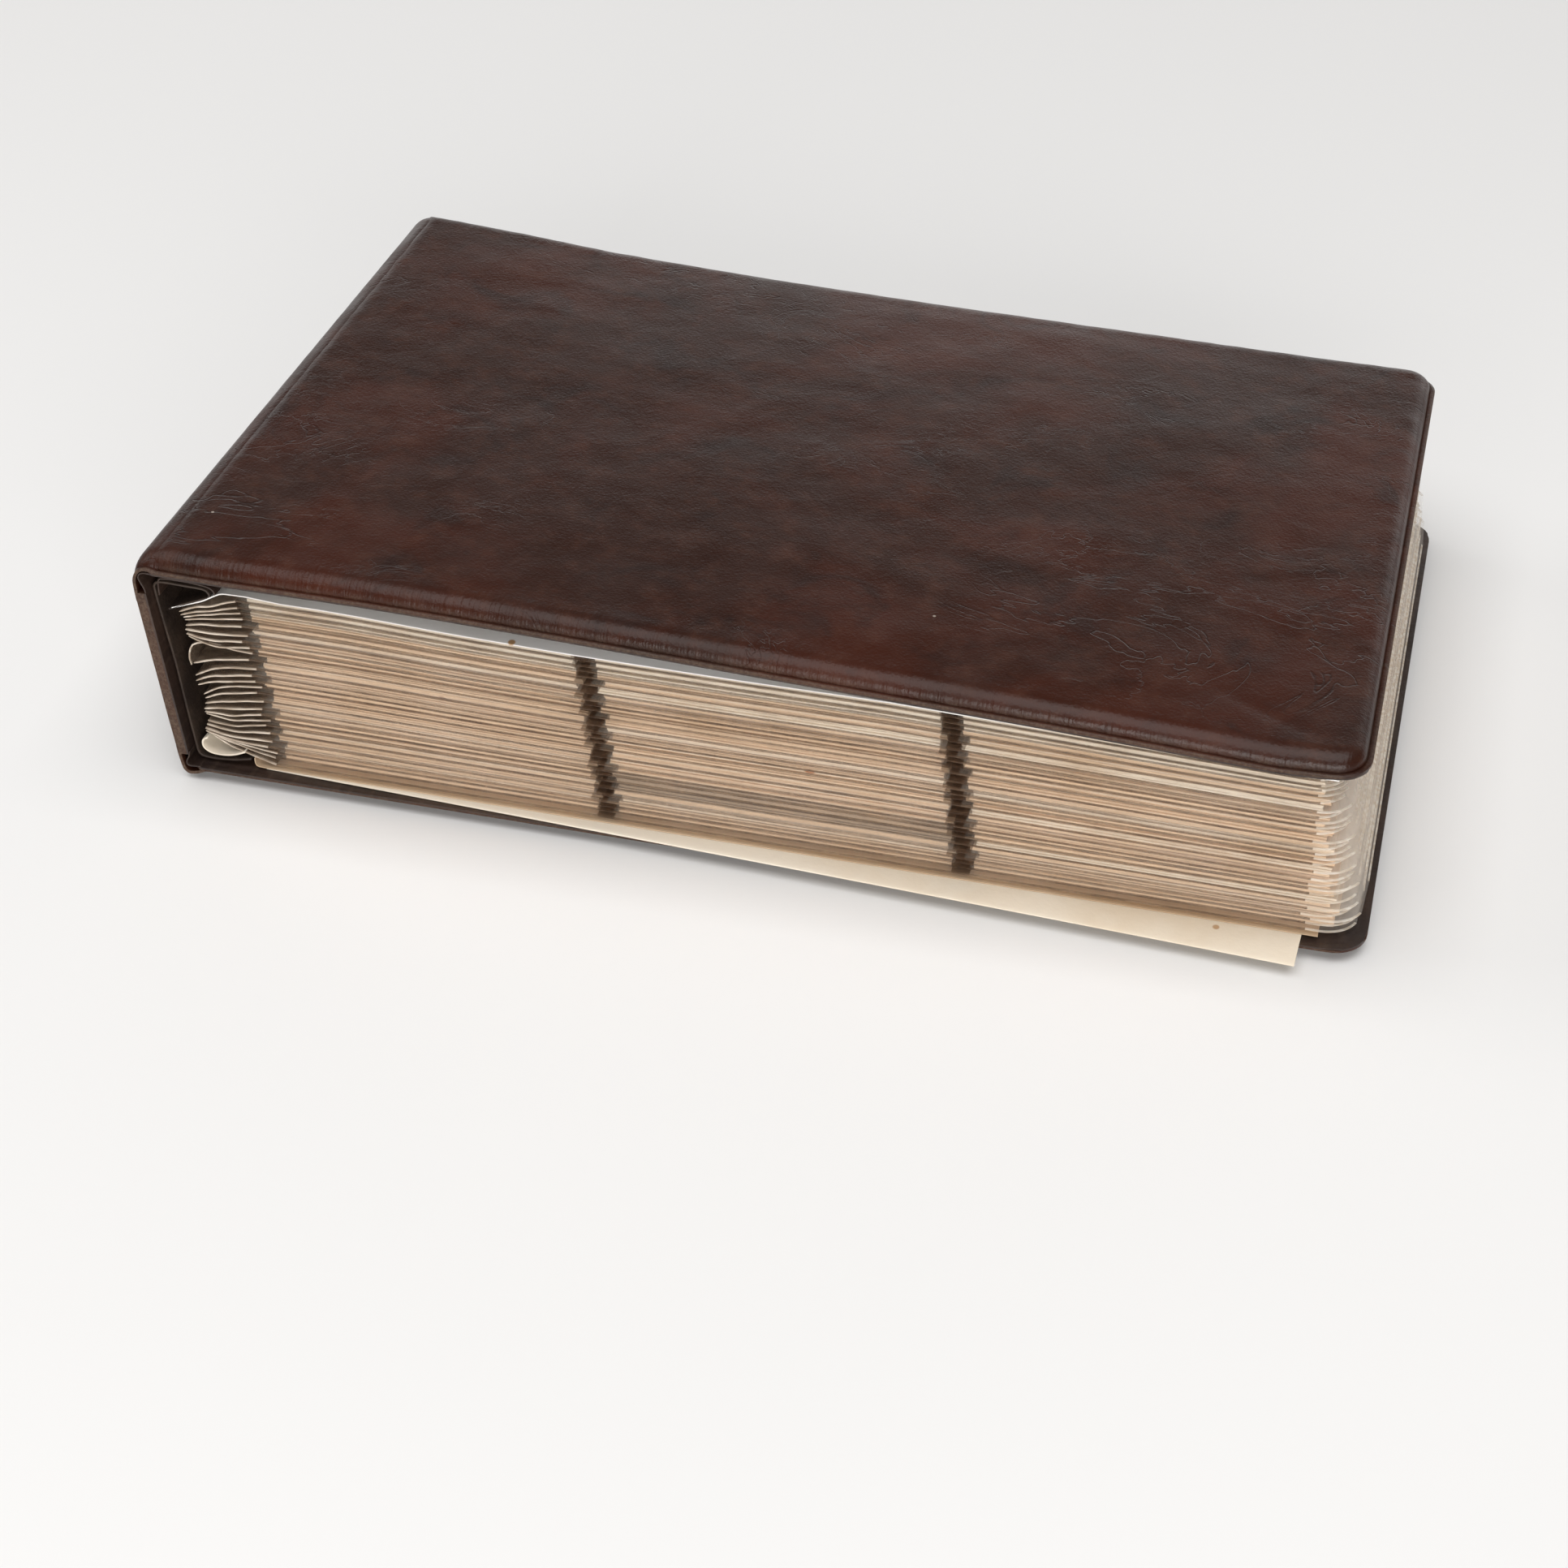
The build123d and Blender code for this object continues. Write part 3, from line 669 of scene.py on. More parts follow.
def cover_piece(name, place, edge, step, low, high):
    """A closed piece of a cover, between the heights low(x, y) and high(x, y) on its outline."""

    def side(height):
        def at(x, y):
            outline = round_corner(x, y, 0, COVER_LENGTH, HALF_WIDTH, SPINE_RADIUS, FORE_RADIUS)
            return place(*outline, height(x, y))

        return at

    xs = stations(0, COVER_LENGTH, edge, step)
    ys = stations(-HALF_WIDTH, HALF_WIDTH, edge, step)
    return filled_piece(name, xs, ys, side(low), side(high))


def corner_fold(x, y):
    """The small slanting fold near the fore corner on the near side."""
    across = ((x - 287) * 0.42 + (y + 87) * 0.91) / 1.9
    along = ((x - 287) * 0.91 - (y + 87) * 0.42) / 13
    return -0.35 * math.exp(-across * across) * math.exp(-along * along)


def make_cover(side, place, step, skin_heights, lining_heights):
    """A cover's padded skin round its foam and board, and the lining inside."""
    cover, front = side + "_cover", side == "front"
    skin = cover_piece(cover + "_padded_skin", place, EDGE, step, *skin_heights)
    mark_trim(skin, front)
    nodes = (cover + "_skin", cover + "_foam", cover + "_board")
    settle(skin, 60, "leather", "case_vinyl", cover, *nodes)
    lining = cover_piece(cover + "_inner_lining", place, LINING_EDGE, LINING_STEP, *lining_heights)
    mark_trim(lining, front)
    settle(lining, 50, "lining", "lining_vinyl", cover, cover + "_lining")


def make_front_cover():
    case = bpy.context.scene.album_case

    def board_face(x, y):
        return LINING_THICKNESS

    def top(x, y):
        d = inset(x, y)
        padded = pad_height(d, 4.7, case.crown / MM) + unevenness(x, y, d, case.gather)
        return LINING_THICKNESS + padded + corner_fold(x, y)

    make_cover("front", front_place, FRONT_STEP, (board_face, top), (lining_dip, board_face))


def lining_dip(x, y):
    """The lining's face: pressed thin along the weld, and a little uneven on the board."""
    d = inset(x, y)
    return 0.2 * groove(d, 2.5, 0.6) + 0.05 * wave(x / 30, y / 30, seed=4.0) * ease((d - 4) / 10)


def mark_trim(piece, front):
    """Where the cut edge of the weld shows its rough core."""

    def trim(x, y, z):
        along = (x - FRONT_EDGE_X) / math.cos(FRONT_TILT) if front else x - SPINE_EDGE
        d = min(COVER_LENGTH - along, HALF_WIDTH - abs(y))
        ragged = 0.5 + 0.6 * wave(x / 3.0, y / 3.0, seed=6.0)
        return float(ease((0.9 - d) / 0.8) * 0.7 + 0.5 * groove(d, WELD_WIDTH, 0.3) * ragged)

    mark(piece, "trim", trim)


def make_back_cover():
    case = bpy.context.scene.album_case
    board_top = LINING_HIGH - LINING_THICKNESS

    def board_face(x, y):
        return board_top

    def under(x, y):
        d = inset(x, y)
        swell = pad_height(d, board_top + 0.1, 0.15) + unevenness(x, y, d, case.gather) * 0.5
        return max(board_top - swell, 0.0)

    def inner_face(x, y):
        return LINING_HIGH - lining_dip(x, y)

    make_cover("back", back_place, BACK_STEP, (under, board_face), (board_face, inner_face))


# ---------------------------------------------------------------- spine and hinges


SPINE_BOARD_DEPTH = 3.05  # where the board ends and the lining begins
HINGE_REACH = 4.0  # how much of the spine's height each hinge takes


def spine_place(depth, y, rise):
    """A place in the spine panel: depth under its outer face, and rise from the lower hinge."""
    depth -= SPINE_THICKNESS / 2
    x = LOWER_HINGE[0] - math.sin(SPINE_LEAN) * rise + math.cos(SPINE_LEAN) * depth
    z = LOWER_HINGE[1] + math.cos(SPINE_LEAN) * rise + math.sin(SPINE_LEAN) * depth
    return x, y, z + spine_warp(y, z)


def spine_warp(y, z):
    """Height added in the spine, which stands a little taller at its far side."""
    share = min(max((z - LOWER_HINGE[1]) / (UPPER_HINGE[1] - LOWER_HINGE[1]), 0), 1)
    return warp(FRONT_NEAR, FRONT_FAR, FRONT_EDGE_X, y) * share


def spine_swell(rise, y):
    """The outer face of the spine: padded between its welds, flat on them."""
    d = HALF_WIDTH - abs(y)
    welds = 0.35 * groove(d, 3.0, 0.7) + 0.22 * groove(d, 5.6, 0.6)
    return 0.45 - 0.45 * ease((d - 2.6) / 3) + welds - 0.12 * wave(rise / 12, y / 30, seed=3.3)


def make_spine():
    def lining_face(rise, y):
        return spine_place(SPINE_THICKNESS - 0.2 * groove(HALF_WIDTH - abs(y), 2.6, 0.6), y, rise)

    def board_face(rise, y):
        return spine_place(SPINE_BOARD_DEPTH, y, rise)

    def outer_face(rise, y):
        return spine_place(spine_swell(rise, y), y, rise)

    low, high = HINGE_REACH, SPINE_REACH - HINGE_REACH
    edge = [0, 0.5, 1.2, 2.0, 2.6, 3.0, 3.4, 4.0, 4.8, 5.6, 6.4, 7.6]
    rises, ys = stations(low, high, edge, 2.2), stations(-HALF_WIDTH, HALF_WIDTH, edge, 3.0)
    skin = filled_piece("spine_panel_skin", rises, ys, board_face, outer_face)
    mark_sides(skin, HALF_WIDTH, 0.9, 0.8)
    settle(skin, 50, "leather", "case_vinyl", "spine", "spine_skin", "spine_board")

    edge = [0, 1.0, 2.4, 3.2, 5.0]
    rises, ys = stations(low, high, edge, 5.0), stations(-HALF_WIDTH, HALF_WIDTH, edge, 6.0)
    lining = filled_piece("spine_panel_lining", rises, ys, lining_face, board_face)
    mark_sides(lining, HALF_WIDTH, 0.9, 1.0)
    settle(lining, 50, "lining", "lining_vinyl", "spine", "spine_lining")


def hinge_strip(name, finish_name, axis, line, count, bodies, starts, ends, drops=None):
    """A strip of case vinyl that bends round a hinge, from a line of places beside its axis.

    At its open ends an outer strip is drawn in to the weld, by the first of the drops where the
    line starts and by the second where it ends. The places starts and ends are not used.
    """
    half, thickness = (HALF_WIDTH, 0.8) if drops else (HALF_WIDTH - 0.2, 0.4)
    path = curve_points(line, count)
    ys = stations(-half, half, EDGE if drops else [0, 0.6, 1.4, 2.4, 3.0, 4.0, 6.0], 4.0)
    along = np.gradient(path, axis=0)
    along /= np.linalg.norm(along, axis=1)[:, None]
    full = pad_height(12, 4.0, 0.0)
    first, last = drops or (0.0, 0.0)

    def place(i, y):
        dx, dz = path[i]
        share = i / (count - 1)
        share = share**2 if last > first else 1 - (1 - share) ** 2
        drop = (first * (1 - share) + last * share) * (1 - pad_height(half - abs(y), 4.0, 0.0) / full)
        if drops:
            drop += 0.06 * wave(y / 5.0, i / 4, seed=7.7)
        z = axis[1] + dz - along[i][0] * drop
        return axis[0] + dx + along[i][1] * drop, y, z + spine_warp(y, z)

    strip = grid_piece(name, range(count), ys, place, thickness, 0.15)
    mark_sides(strip, half, 0.8, 0.8)
    settle(strip, 50, finish_name, "case_vinyl" if drops else "lining_vinyl", None)
    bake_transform(strip)
    return strip


def make_hinges():
    above, below = ("spine", "front_cover"), ("back_cover", "spine")
    line = [
        (-0.95, -6.5), (-1.22, -3.0), (-1.45, -0.3), (-1.15, 2.0), (-0.2, 3.9), (1.4, 5.3), (3.6, 6.15),
        (6.0, 6.3),
    ]
    bend = ((-1.4, -1.0), (1.4, 5.0))
    upper = hinge_strip("upper_hinge_skin", "leather", UPPER_HINGE, line, 26, above, *bend, (0.5, 4.3))
    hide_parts("upper_hinge_roll")
    line = [
        (6.0, -3.2), (3.6, -3.55), (1.2, -3.42), (-0.4, -2.7), (-1.3, -1.3), (-1.5, 0.2), (-1.7, 3.0),
        (-1.95, 6.5),
    ]
    bend = ((1.4, -3.4), (-1.5, 1.0))
    lower = hinge_strip("lower_hinge_skin", "leather", LOWER_HINGE, line, 26, below, *bend, (3.3, 0.5))
    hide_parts("lower_hinge_roll")
    line = [(2.0, -5.0), (1.7, -2.6), (1.0, -0.9), (0.5, 0.5), (0.9, 1.7), (2.2, 2.3), (4.0, 2.2)]
    hinge_strip("upper_hinge_lining", "lining", UPPER_HINGE, line, 16, above, (1.0, -1.4), (1.4, 2.0))
    line = [(4.2, 0.25), (2.4, 0.2), (1.0, 0.1), (0.3, 0.6), (0.4, 1.8), (1.1, 3.0), (1.6, 4.8)]
    hinge_strip("lower_hinge_lining", "lining", LOWER_HINGE, line, 16, below, (1.2, 0.1), (0.5, 2.2))


# ---------------------------------------------------------------- guard and posts


def between(rows, y, start, length, i):
    """A point between two lines: on the first where the piece is held, on the second at its open ends."""
    share = ease((abs(y) - start) / length)
    return rows[0][i] * (1 - share) + rows[1][i] * share


def make_guard():
    held = [
        (0.0, 57.6), (4.0, 57.6), (8.6, 57.6), (10.3, 58.6), (10.2, 60.2), (8.4, 61.2), (3.0, 61.3),
        (-3.4, 61.3), (-4.9, 60.6), (-5.2, 57.5), (-4.5, 46.0), (-3.7, 36.0), (-2.7, 24.0), (-1.6, 11.0),
        (-0.9, 6.8), (0.8, 5.7), (5.0, 5.6), (10.0, 5.7), (14.0, 5.7),
    ]
    open_end = [
        (-2.6, 53.1), (1.6, 55.0), (7.0, 57.3), (9.7, 58.6), (9.4, 60.1), (7.8, 60.9), (2.5, 61.1),
        (-3.2, 61.2), (-5.4, 60.4), (-5.6, 57.5), (-4.4, 46.0), (-3.3, 36.0), (-2.5, 24.0), (-1.5, 11.0),
        (-0.9, 6.8), (0.8, 5.9), (5.0, 5.8), (10.0, 6.4), (14.3, 7.4),
    ]
    count, fold_count = 110, 40
    rows = [curve_points(line, count) for line in (held, open_end)]
    ys = stations(-LEAF_HALF, LEAF_HALF, [0, 0.8, 3, 7, 12, 18, 25], 10.0)

    def place(i, y):
        x, z = between(rows, y, 76, 22, i)
        return ALBUM_X + x, y, z + 0.12 * wave(i / 9, y / 14, seed=8.1)

    guard = grid_piece("binding_guard_sheet", range(count), ys, place, 0.6, 0.12)
    settle(guard, 60, "suede", "lining_vinyl", "spine", "binding_guard")

    line = [(-4.6, 57.0), (-4.2, 61.6), (-2.0, 62.4), (3.0, 62.4), (8.0, 62.0), (10.6, 61.2), (11.6, 59.4)]
    path = curve_points(line, fold_count)

    def fold_place(i, y):
        return ALBUM_X + path[i][0], y, path[i][1] + 0.1 * wave(i / 9, y / 12, seed=2.2)

    fold = grid_piece("binding_guard_cover_fold", range(fold_count), ys, fold_place, 0.45, 0.1)
    settle(fold, 60, "lining", "lining_vinyl", "spine")


def make_posts():
    """The posts and the guard's weld keep their shape, and get brass and vinyl."""
    for name, finish_name in (("post_barrels", "brass"), ("post_screws", "brass"), ("guard_weld", "lining")):
        for material_slot in frame["nodes"][name].material_slots:
            material_slot.material = finish(finish_name)


# ---------------------------------------------------------------- leaves

# Where each margin's tip lies at the open ends, as (x, z).
TIPS = [
    (0.8, 53.2), (0.9, 52.1), (1.2, 50.9), (1.3, 49.9), (1.5, 48.6), (1.6, 47.6), (1.8, 46.4), (1.9, 45.4),
    (0.9, 35.6), (1.8, 36.4), (2.2, 33.2), (2.3, 31.7), (2.4, 30.1), (3.2, 26.6), (3.4, 25.3), (3.5, 24.1),
    (3.3, 22.8), (3.2, 21.6), (3.0, 20.4), (2.9, 17.8), (2.7, 16.9), (2.5, 16.1), (2.6, 15.3), (2.9, 14.6),
    (3.4, 13.9), (4.2, 13.3),
]
MARGIN_POINTS = 15
MARGIN_TOP = 56.2
SECOND_GAP = PAD_START + 2 * POCKET + POCKET_GAP
STEEP_TOP, STEEP_LOW, FOLDED = 5, 20, 9  # the leaves whose margins crowd, and the one that folds back


def margin_line(number, open_end):
    """A margin's line from its tip to the first pocket, where it is bound or at its open ends."""
    share = (number - 1) / (LEAF_COUNT - 1)
    start = PAD_START + leaf_shift(number) - 0.4 - ALBUM_X
    leaf_z = leaf_level(number, PAD_START, 0.5)
    if not open_end:
        level = MARGIN_TOP - 47.2 * share
        rise = leaf_z - level
        bent = [(9.6, level + 0.15 * rise), (14.4, leaf_z - 0.12 * rise)]
        return [(1.4, level), (6.0, level), *bent, (start, leaf_z)]
    tip_x, tip_z = TIPS[number - 1]
    hump_x, hump_z = 9.6 + 2.4 * share, leaf_z - 0.6 - 1.6 * share
    if number <= STEEP_TOP:
        hump_z = min(hump_z, MARGIN_TOP - (number - 1) * 1.6)
    if number >= STEEP_LOW:
        hump_z = max(hump_z, 9.6 + (LEAF_COUNT - number) * 1.25)
    if number == FOLDED:
        back = [(0.9, 35.6), (0.7, 38.4), (2.2, 42.2), (6.0, 43.6)]
        return [*back, (hump_x, 43.2), (14.0, leaf_z + 0.3), (start, leaf_z)]
    middle = (tip_x * 0.45 + hump_x * 0.55, tip_z * 0.30 + hump_z * 0.70)
    after = (0.5 * (hump_x + start), leaf_z * 0.55 + hump_z * 0.45)
    return [(tip_x, tip_z), middle, (hump_x, hump_z), after, (start, leaf_z)]


def lengthened(number, x):
    """Where a place in the third pocket lies: lower leaves reach further to the fore edge."""
    share = max(x - SECOND_GAP, 0.0) / (LEAF_END - SECOND_GAP)
    return x + share * (0.9 + 3.5 * (number - 1) / (LEAF_COUNT - 1))


SIDE_EDGE = [0, 0.45, 0.9, 1.5, 2.7, 3.2, 3.7, 4.3, 5.4]


def pocket_edges(shift):
    """Start and end of each pocket along x."""
    starts = [PAD_START + shift + k * (POCKET + POCKET_GAP) for k in range(3)]
    return [(s, s + POCKET) for s in starts]


def leaf_stations(shift):
    """Stations along a leaf's pockets, close together at the welds."""
    xs = []
    for start, end in pocket_edges(shift):
        xs += [start + 0.1, start + 0.5, start + 1.0, start + 1.8]
        xs += [start + 1.8 + (POCKET - 3.6) * i / 7 for i in range(1, 7)]
        if end > PAD_END - 20:
            xs += [end - c for c in (9.0, 7.0, 5.4, 4.0, 2.8)]
        xs += [end - 1.8, end - 1.0, end - 0.5, end - 0.1, end + 0.9]
        if end < PAD_END - 20:
            xs.append(end + POCKET_GAP - 0.9)
    end = LEAF_END + shift
    return xs + [end - 1.5, end - 0.9, end - 0.45, end]


def outline_depth(x, y, end):
    """Distance inside a leaf's outline, which has rounded corners at the fore edge."""
    across, beyond = x - (end - LEAF_RADIUS), abs(y) - (LEAF_HALF - LEAF_RADIUS)
    if across > 0 and beyond > 0:
        return LEAF_RADIUS - math.hypot(across, beyond)
    return min(LEAF_HALF - abs(y), end - x)


def swelling(x, y, shift, half_pad, film, rim):
    """Half the thickness of a leaf: thin at its welds, full over its pockets, with a raised rim."""
    end = LEAF_END + shift
    pocket = max(min(x - s, e - x) for s, e in pocket_edges(shift))
    inside = min(pocket, LEAF_HALF - abs(y) - END_WELD)
    rim_distance = min(LEAF_HALF - abs(y), end - x)
    bead = rim / 2 * math.sqrt(max(0.0, 1 - (2 * rim_distance / 0.9 - 1) ** 2)) if rim_distance < 0.9 else 0.0
    base = max(film / 2, bead) if rim_distance > 0.02 else film * 0.2
    return base + (half_pad - film / 2) * ease(inside / 1.1)


RIM_REACH = 0.5  # how far in from a leaf's outline its rim is seen
# The film's parts: all but the plain film carry painted shade or painted light.
FILM_PARTS = ("film", "rim", "margin", "margin_rim", "fore_rim", "seam")


def make_film(number):
    """One leaf's clear films, from the tips of the margin to the welded fore edge."""
    leaf = bpy.context.scene.album_leaf
    film, rim = leaf.film / MM, leaf.rim / MM
    shift = leaf_shift(number)
    lines = [curve_points(margin_line(number, open_end), MARGIN_POINTS) for open_end in (False, True)]
    slide = 0.7 * math.sin(5.1 * number)
    end = LEAF_END + shift

    def margin(i, y, side):
        row = [between(lines, y, 72, 26, k) for k in (max(i - 1, 0), i, min(i + 1, MARGIN_POINTS - 1))]
        x, z = row[1]
        along = row[2] - row[0]
        half = film / 2 * side * (0.45 if i == 0 else 1.0) / (math.hypot(*along) or 1.0)
        ripple = 0.25 * wave(y / 17, number * 3.1, i / 6) * min(1, (MARGIN_POINTS - 1 - i) / 4)
        x += ALBUM_X - along[1] * half
        z += along[0] * half + ripple
        return x, y + slide, z + stack_warp(x, y, z) * i / MARGIN_POINTS

    def face(side):
        def place(x, y):
            if isinstance(x, tuple):
                return margin(x[1], y, side)
            full = PITCH_SPINE + (PITCH_FORE - PITCH_SPINE) * (x - PAD_START) / (PAD_END - PAD_START)
            z = leaf_level(number, x, 0.5)
            z += stack_warp(x, y, z) + side * swelling(x, y, shift, full / 2 - 0.12, film, rim)
            z += 0.10 * wave(x / 30, y / 20, number * 1.7)
            x, y = round_corner(x, y, SPINE_EDGE, end, LEAF_HALF, 0.4, LEAF_RADIUS)
            return lengthened(number, x), y + slide, z

        return place

    xs = fold_stations(MARGIN_POINTS) + leaf_stations(shift)
    ys = stations(-LEAF_HALF, LEAF_HALF, SIDE_EDGE, 14.0)
    piece = filled_piece(f"leaf_{number:02d}_film", xs, ys, face(-1), face(1))
    settle(piece, 50, "film", "clear_film", None)
    for part in FILM_PARTS[1:]:
        piece.data.materials.append(finish(part))
    gaps = [high + POCKET_GAP / 2 for _, high in pocket_edges(shift)[:2]]
    # Painted light and shade: rims, margins and the strips between pockets get dark or light finishes by
    # where they sit.
    for polygon in piece.data.polygons:
        middle = polygon.center / MM
        at_side = outline_depth(middle.x, middle.y - slide, lengthened(number, end)) < RIM_REACH
        if at_side and middle.x > PAD_END - 4:
            part = "fore_rim"
        elif min(abs(middle.x - gap) for gap in gaps) < POCKET_GAP / 2:
            part = "seam"
        elif middle.x < PAD_START + shift - 0.6:
            part = "margin_rim" if at_side else "margin"
        else:
            part = "rim" if at_side else "film"
        polygon.material_index = FILM_PARTS.index(part)
    return piece


def card_box():
    """One card in a unit box: a cube cut into a few panels, so that it can bend."""
    clear_selection()
    bpy.ops.mesh.primitive_cube_add(size=1)
    box = named("card_blank")
    bpy.ops.object.mode_set(mode="EDIT")
    for axis, count in ((0, 7), (1, 4)):
        for i in range(1, count):
            bpy.ops.mesh.select_all(action="SELECT")
            at, normal = [0, 0, 0], [0, 0, 0]
            at[axis], normal[axis] = i / count - 0.5, 1
            bpy.ops.mesh.bisect(plane_co=at, plane_no=normal)
    bpy.ops.object.mode_set(mode="OBJECT")
    return box


def card_place(number, pocket, low, high, inset_x, near, far, turn=0.0):
    """Puts a unit card in a pocket, between two heights over the leaf's middle and two ends in y."""
    start, end = pocket_edges(leaf_shift(number))[pocket]
    end -= FORE_CARD_CUT if pocket == 2 else 0.0

    def place(u, v, w):
        x = start + inset_x + (end - start - 2 * inset_x) * (u + 0.5)
        y = near + (far - near) * (v + 0.5)
        x += turn * (y - near) * 0.01
        z = leaf_level(number, x, 0.5)
        return lengthened(number, x), y, z + stack_warp(x, y, z) + low + (high - low) * (w + 0.5)

    return place


def copy_piece(piece, name):
    made = piece.copy()
    made.data = piece.data.copy()
    made.name = made.data.name = name
    bpy.context.collection.objects.link(made)
    return made


def join_pieces(pieces, name):
    clear_selection()
    for piece in pieces:
        piece.select_set(True)
    bpy.context.view_layer.objects.active = pieces[0]
    if len(pieces) > 1:
        bpy.ops.object.join()
    made = bpy.context.view_layer.objects.active
    made.name = made.data.name = name
    return made


def tint_piece(piece, colour):
    """One tint for all of a card."""
    values = [c for _ in piece.data.vertices for c in (*colour, 1.0)]
    piece.data.attributes.new("tint", "FLOAT_COLOR", "POINT").data.foreach_set("color", values)


FORE_CARD_CUT = 1.9  # how much narrower the cards of the third pocket are
PALE_CARDS = {
    (7, 0): 0.7, (7, 1): 1.0, (7, 2): 1.0, (13, 1): 0.6, (14, 2): 0.8, (17, 2): 0.9, (22, 2): 1.0,
    (24, 1): 0.6,
}
BROWN_PACKS = {(20, 1), (21, 1), (22, 1)}


def leaf_cards(number, pockets, blank, dice):
    """The cards of a leaf: in each pocket a coin card between two thinner ones."""
    leaf = bpy.context.scene.album_leaf
    card, cream = Vector(leaf.card), Vector(leaf.cream)
    near = -LEAF_HALF + END_WELD + 0.5
    made = []
    for pocket in pockets:
        draws = [dice.random() for _ in range(8)]
        pale = PALE_CARDS.get((number, pocket), 0.0)
        layers = [(-0.84, -0.33), (-0.29, 0.32), (0.36, 0.80)]
        for k, (low, high) in enumerate(layers):
            back = 0.25 + 0.9 * draws[k]
            narrow, turn = 0.5 + 0.3 * draws[k + 3], (draws[k + 3] - 0.5) * 0.6
            far = near + CARD_LENGTH + back * 0.4
            place = card_place(number, pocket, low, high, narrow, near + back, far, turn)
            piece = put_points(copy_piece(blank, "card_layer"), place)
            colour = card * (0.92 + 0.14 * draws[7] if k == 1 else 0.80 + 0.28 * draws[(k * 3 + pocket) % 8])
            if (number, pocket) in BROWN_PACKS:
                colour = card * 0.42
            elif pale:
                colour = card.lerp(cream, pale)
            elif draws[6] > 0.72 and k == 2:
                colour = card.lerp(cream, 0.5)
            tint_piece(piece, colour)
            made.append(piece)
    return made


def make_still_leaves():
    leaf = bpy.context.scene.album_leaf
    dice = random.Random(leaf.seed)
    blank = card_box()
    for number in range(TURNING + 1, LEAF_COUNT + 1):
        film = make_film(number)
        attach(film, "spine")
        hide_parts(f"leaf_{number:02d}")
        cards = join_pieces(leaf_cards(number, range(3), blank, dice), f"leaf_{number:02d}_card_packs")
        settle(cards, None, "card", "card_stock", "spine", f"leaf_{number:02d}")
    bpy.data.objects.remove(blank)


COIN_RADIUS, COIN_THICKNESS = 14.0, 1.16
BEAD_RING, BEAD_COUNT = 12.0, 48


def coin_blank():
    """A coin in millimetres: raised rim, sunk field, a ring of beads and a star in relief."""
    clear_selection()
    size = {"radius": COIN_RADIUS, "depth": COIN_THICKNESS}
    bpy.ops.mesh.primitive_cylinder_add(vertices=64, end_fill_type="NGON", **size)
    coin = named("coin_blank")
    bpy.ops.object.mode_set(mode="EDIT")
    for side in (1, -1):
        bpy.ops.mesh.select_all(action="DESELECT")
        bpy.ops.object.mode_set(mode="OBJECT")
        for polygon in coin.data.polygons:
            polygon.select = polygon.normal.z * side > 0.9
        bpy.ops.object.mode_set(mode="EDIT")
        for width, depth in ((0.9, 0), (0.25, -0.22), (3.6, 0), (0.3, 0.12), (0.5, 0), (0.3, -0.12)):
            bpy.ops.mesh.inset(thickness=width, depth=depth)
    bpy.ops.object.mode_set(mode="OBJECT")
    bevel = coin.modifiers.new("worn", "BEVEL")
    bevel.width, bevel.segments, bevel.limit_method = 0.09, 2, "ANGLE"
    apply_all(coin)

    clear_selection()
    bpy.ops.mesh.primitive_cone_add(vertices=10, radius1=6.4, radius2=0.0, depth=0.62, end_fill_type="NGON")
    star = named("coin_star")
    for v in star.data.vertices:
        arm = round(math.atan2(v.co.y, v.co.x) / math.radians(36))
        if v.co.z < 0 and arm % 2:
            v.co.x, v.co.y = v.co.x * 0.42, v.co.y * 0.42
    star.location.z = COIN_THICKNESS / 2 - 0.05
    under = copy_piece(star, "coin_star_under")
    under.rotation_euler.x = math.pi
    under.location.z = -star.location.z

    clear_selection()
    bpy.ops.mesh.primitive_uv_sphere_add(segments=8, ring_count=6, radius=0.3)
    bead = named("coin_bead")
    beads = [copy_piece(bead, f"coin_bead_{i}") for i in range(BEAD_COUNT)]
    for i, one in enumerate(beads):
        a = 2 * math.pi * i / BEAD_COUNT
        one.location = (BEAD_RING * math.cos(a), BEAD_RING * math.sin(a), COIN_THICKNESS / 2 - 0.24)
    bpy.data.objects.remove(bead)
    blank = join_pieces([coin, star, under, *beads], "coin_blank")
    make_active(blank)
    bpy.ops.object.transform_apply(location=True, rotation=True, scale=True)
    return smooth(blank, 30)


def pocket_middle(number, pocket):
    """The middle of a pocket along x, and the height of the leaf there before the warp."""
    x = lengthened(number, sum(pocket_edges(leaf_shift(number))[pocket]) / 2)
    return x, leaf_level(number, x, 0.5)


def place_coin(blank, name, number, pocket, y):
    """Lays a coin on the slope of its leaf."""
    x, z = pocket_middle(number, pocket)
    slope_x = (leaf_level(number, x + 10, 0.5) - leaf_level(number, x - 10, 0.5)) / 20
    slope_x += (stack_warp(x + 10, y, z) - stack_warp(x - 10, y, z)) / 20
    slope_y = (stack_warp(x, y + 10, z) - stack_warp(x, y - 10, z)) / 20
    z += stack_warp(x, y, z)
    coin = copy_piece(blank, name)
    return put_points(coin, lambda a, b, c: (x + a, y + b, z + c + slope_x * a + slope_y * b))


def cut_window(card, x, y, z):
    """Cuts the round window for a coin through a card."""
    clear_selection()
    size = {"radius": (COIN_RADIUS + 0.2) * MM, "depth": 8 * MM}
    bpy.ops.mesh.primitive_cylinder_add(vertices=64, location=(x * MM, y * MM, z * MM), **size)
    cutter = named("window_cutter")
    cut = card.modifiers.new("window", "BOOLEAN")
    cut.operation, cut.object, cut.solver = "DIFFERENCE", cutter, "EXACT"
    apply_all(card)
    bpy.data.objects.remove(cutter)


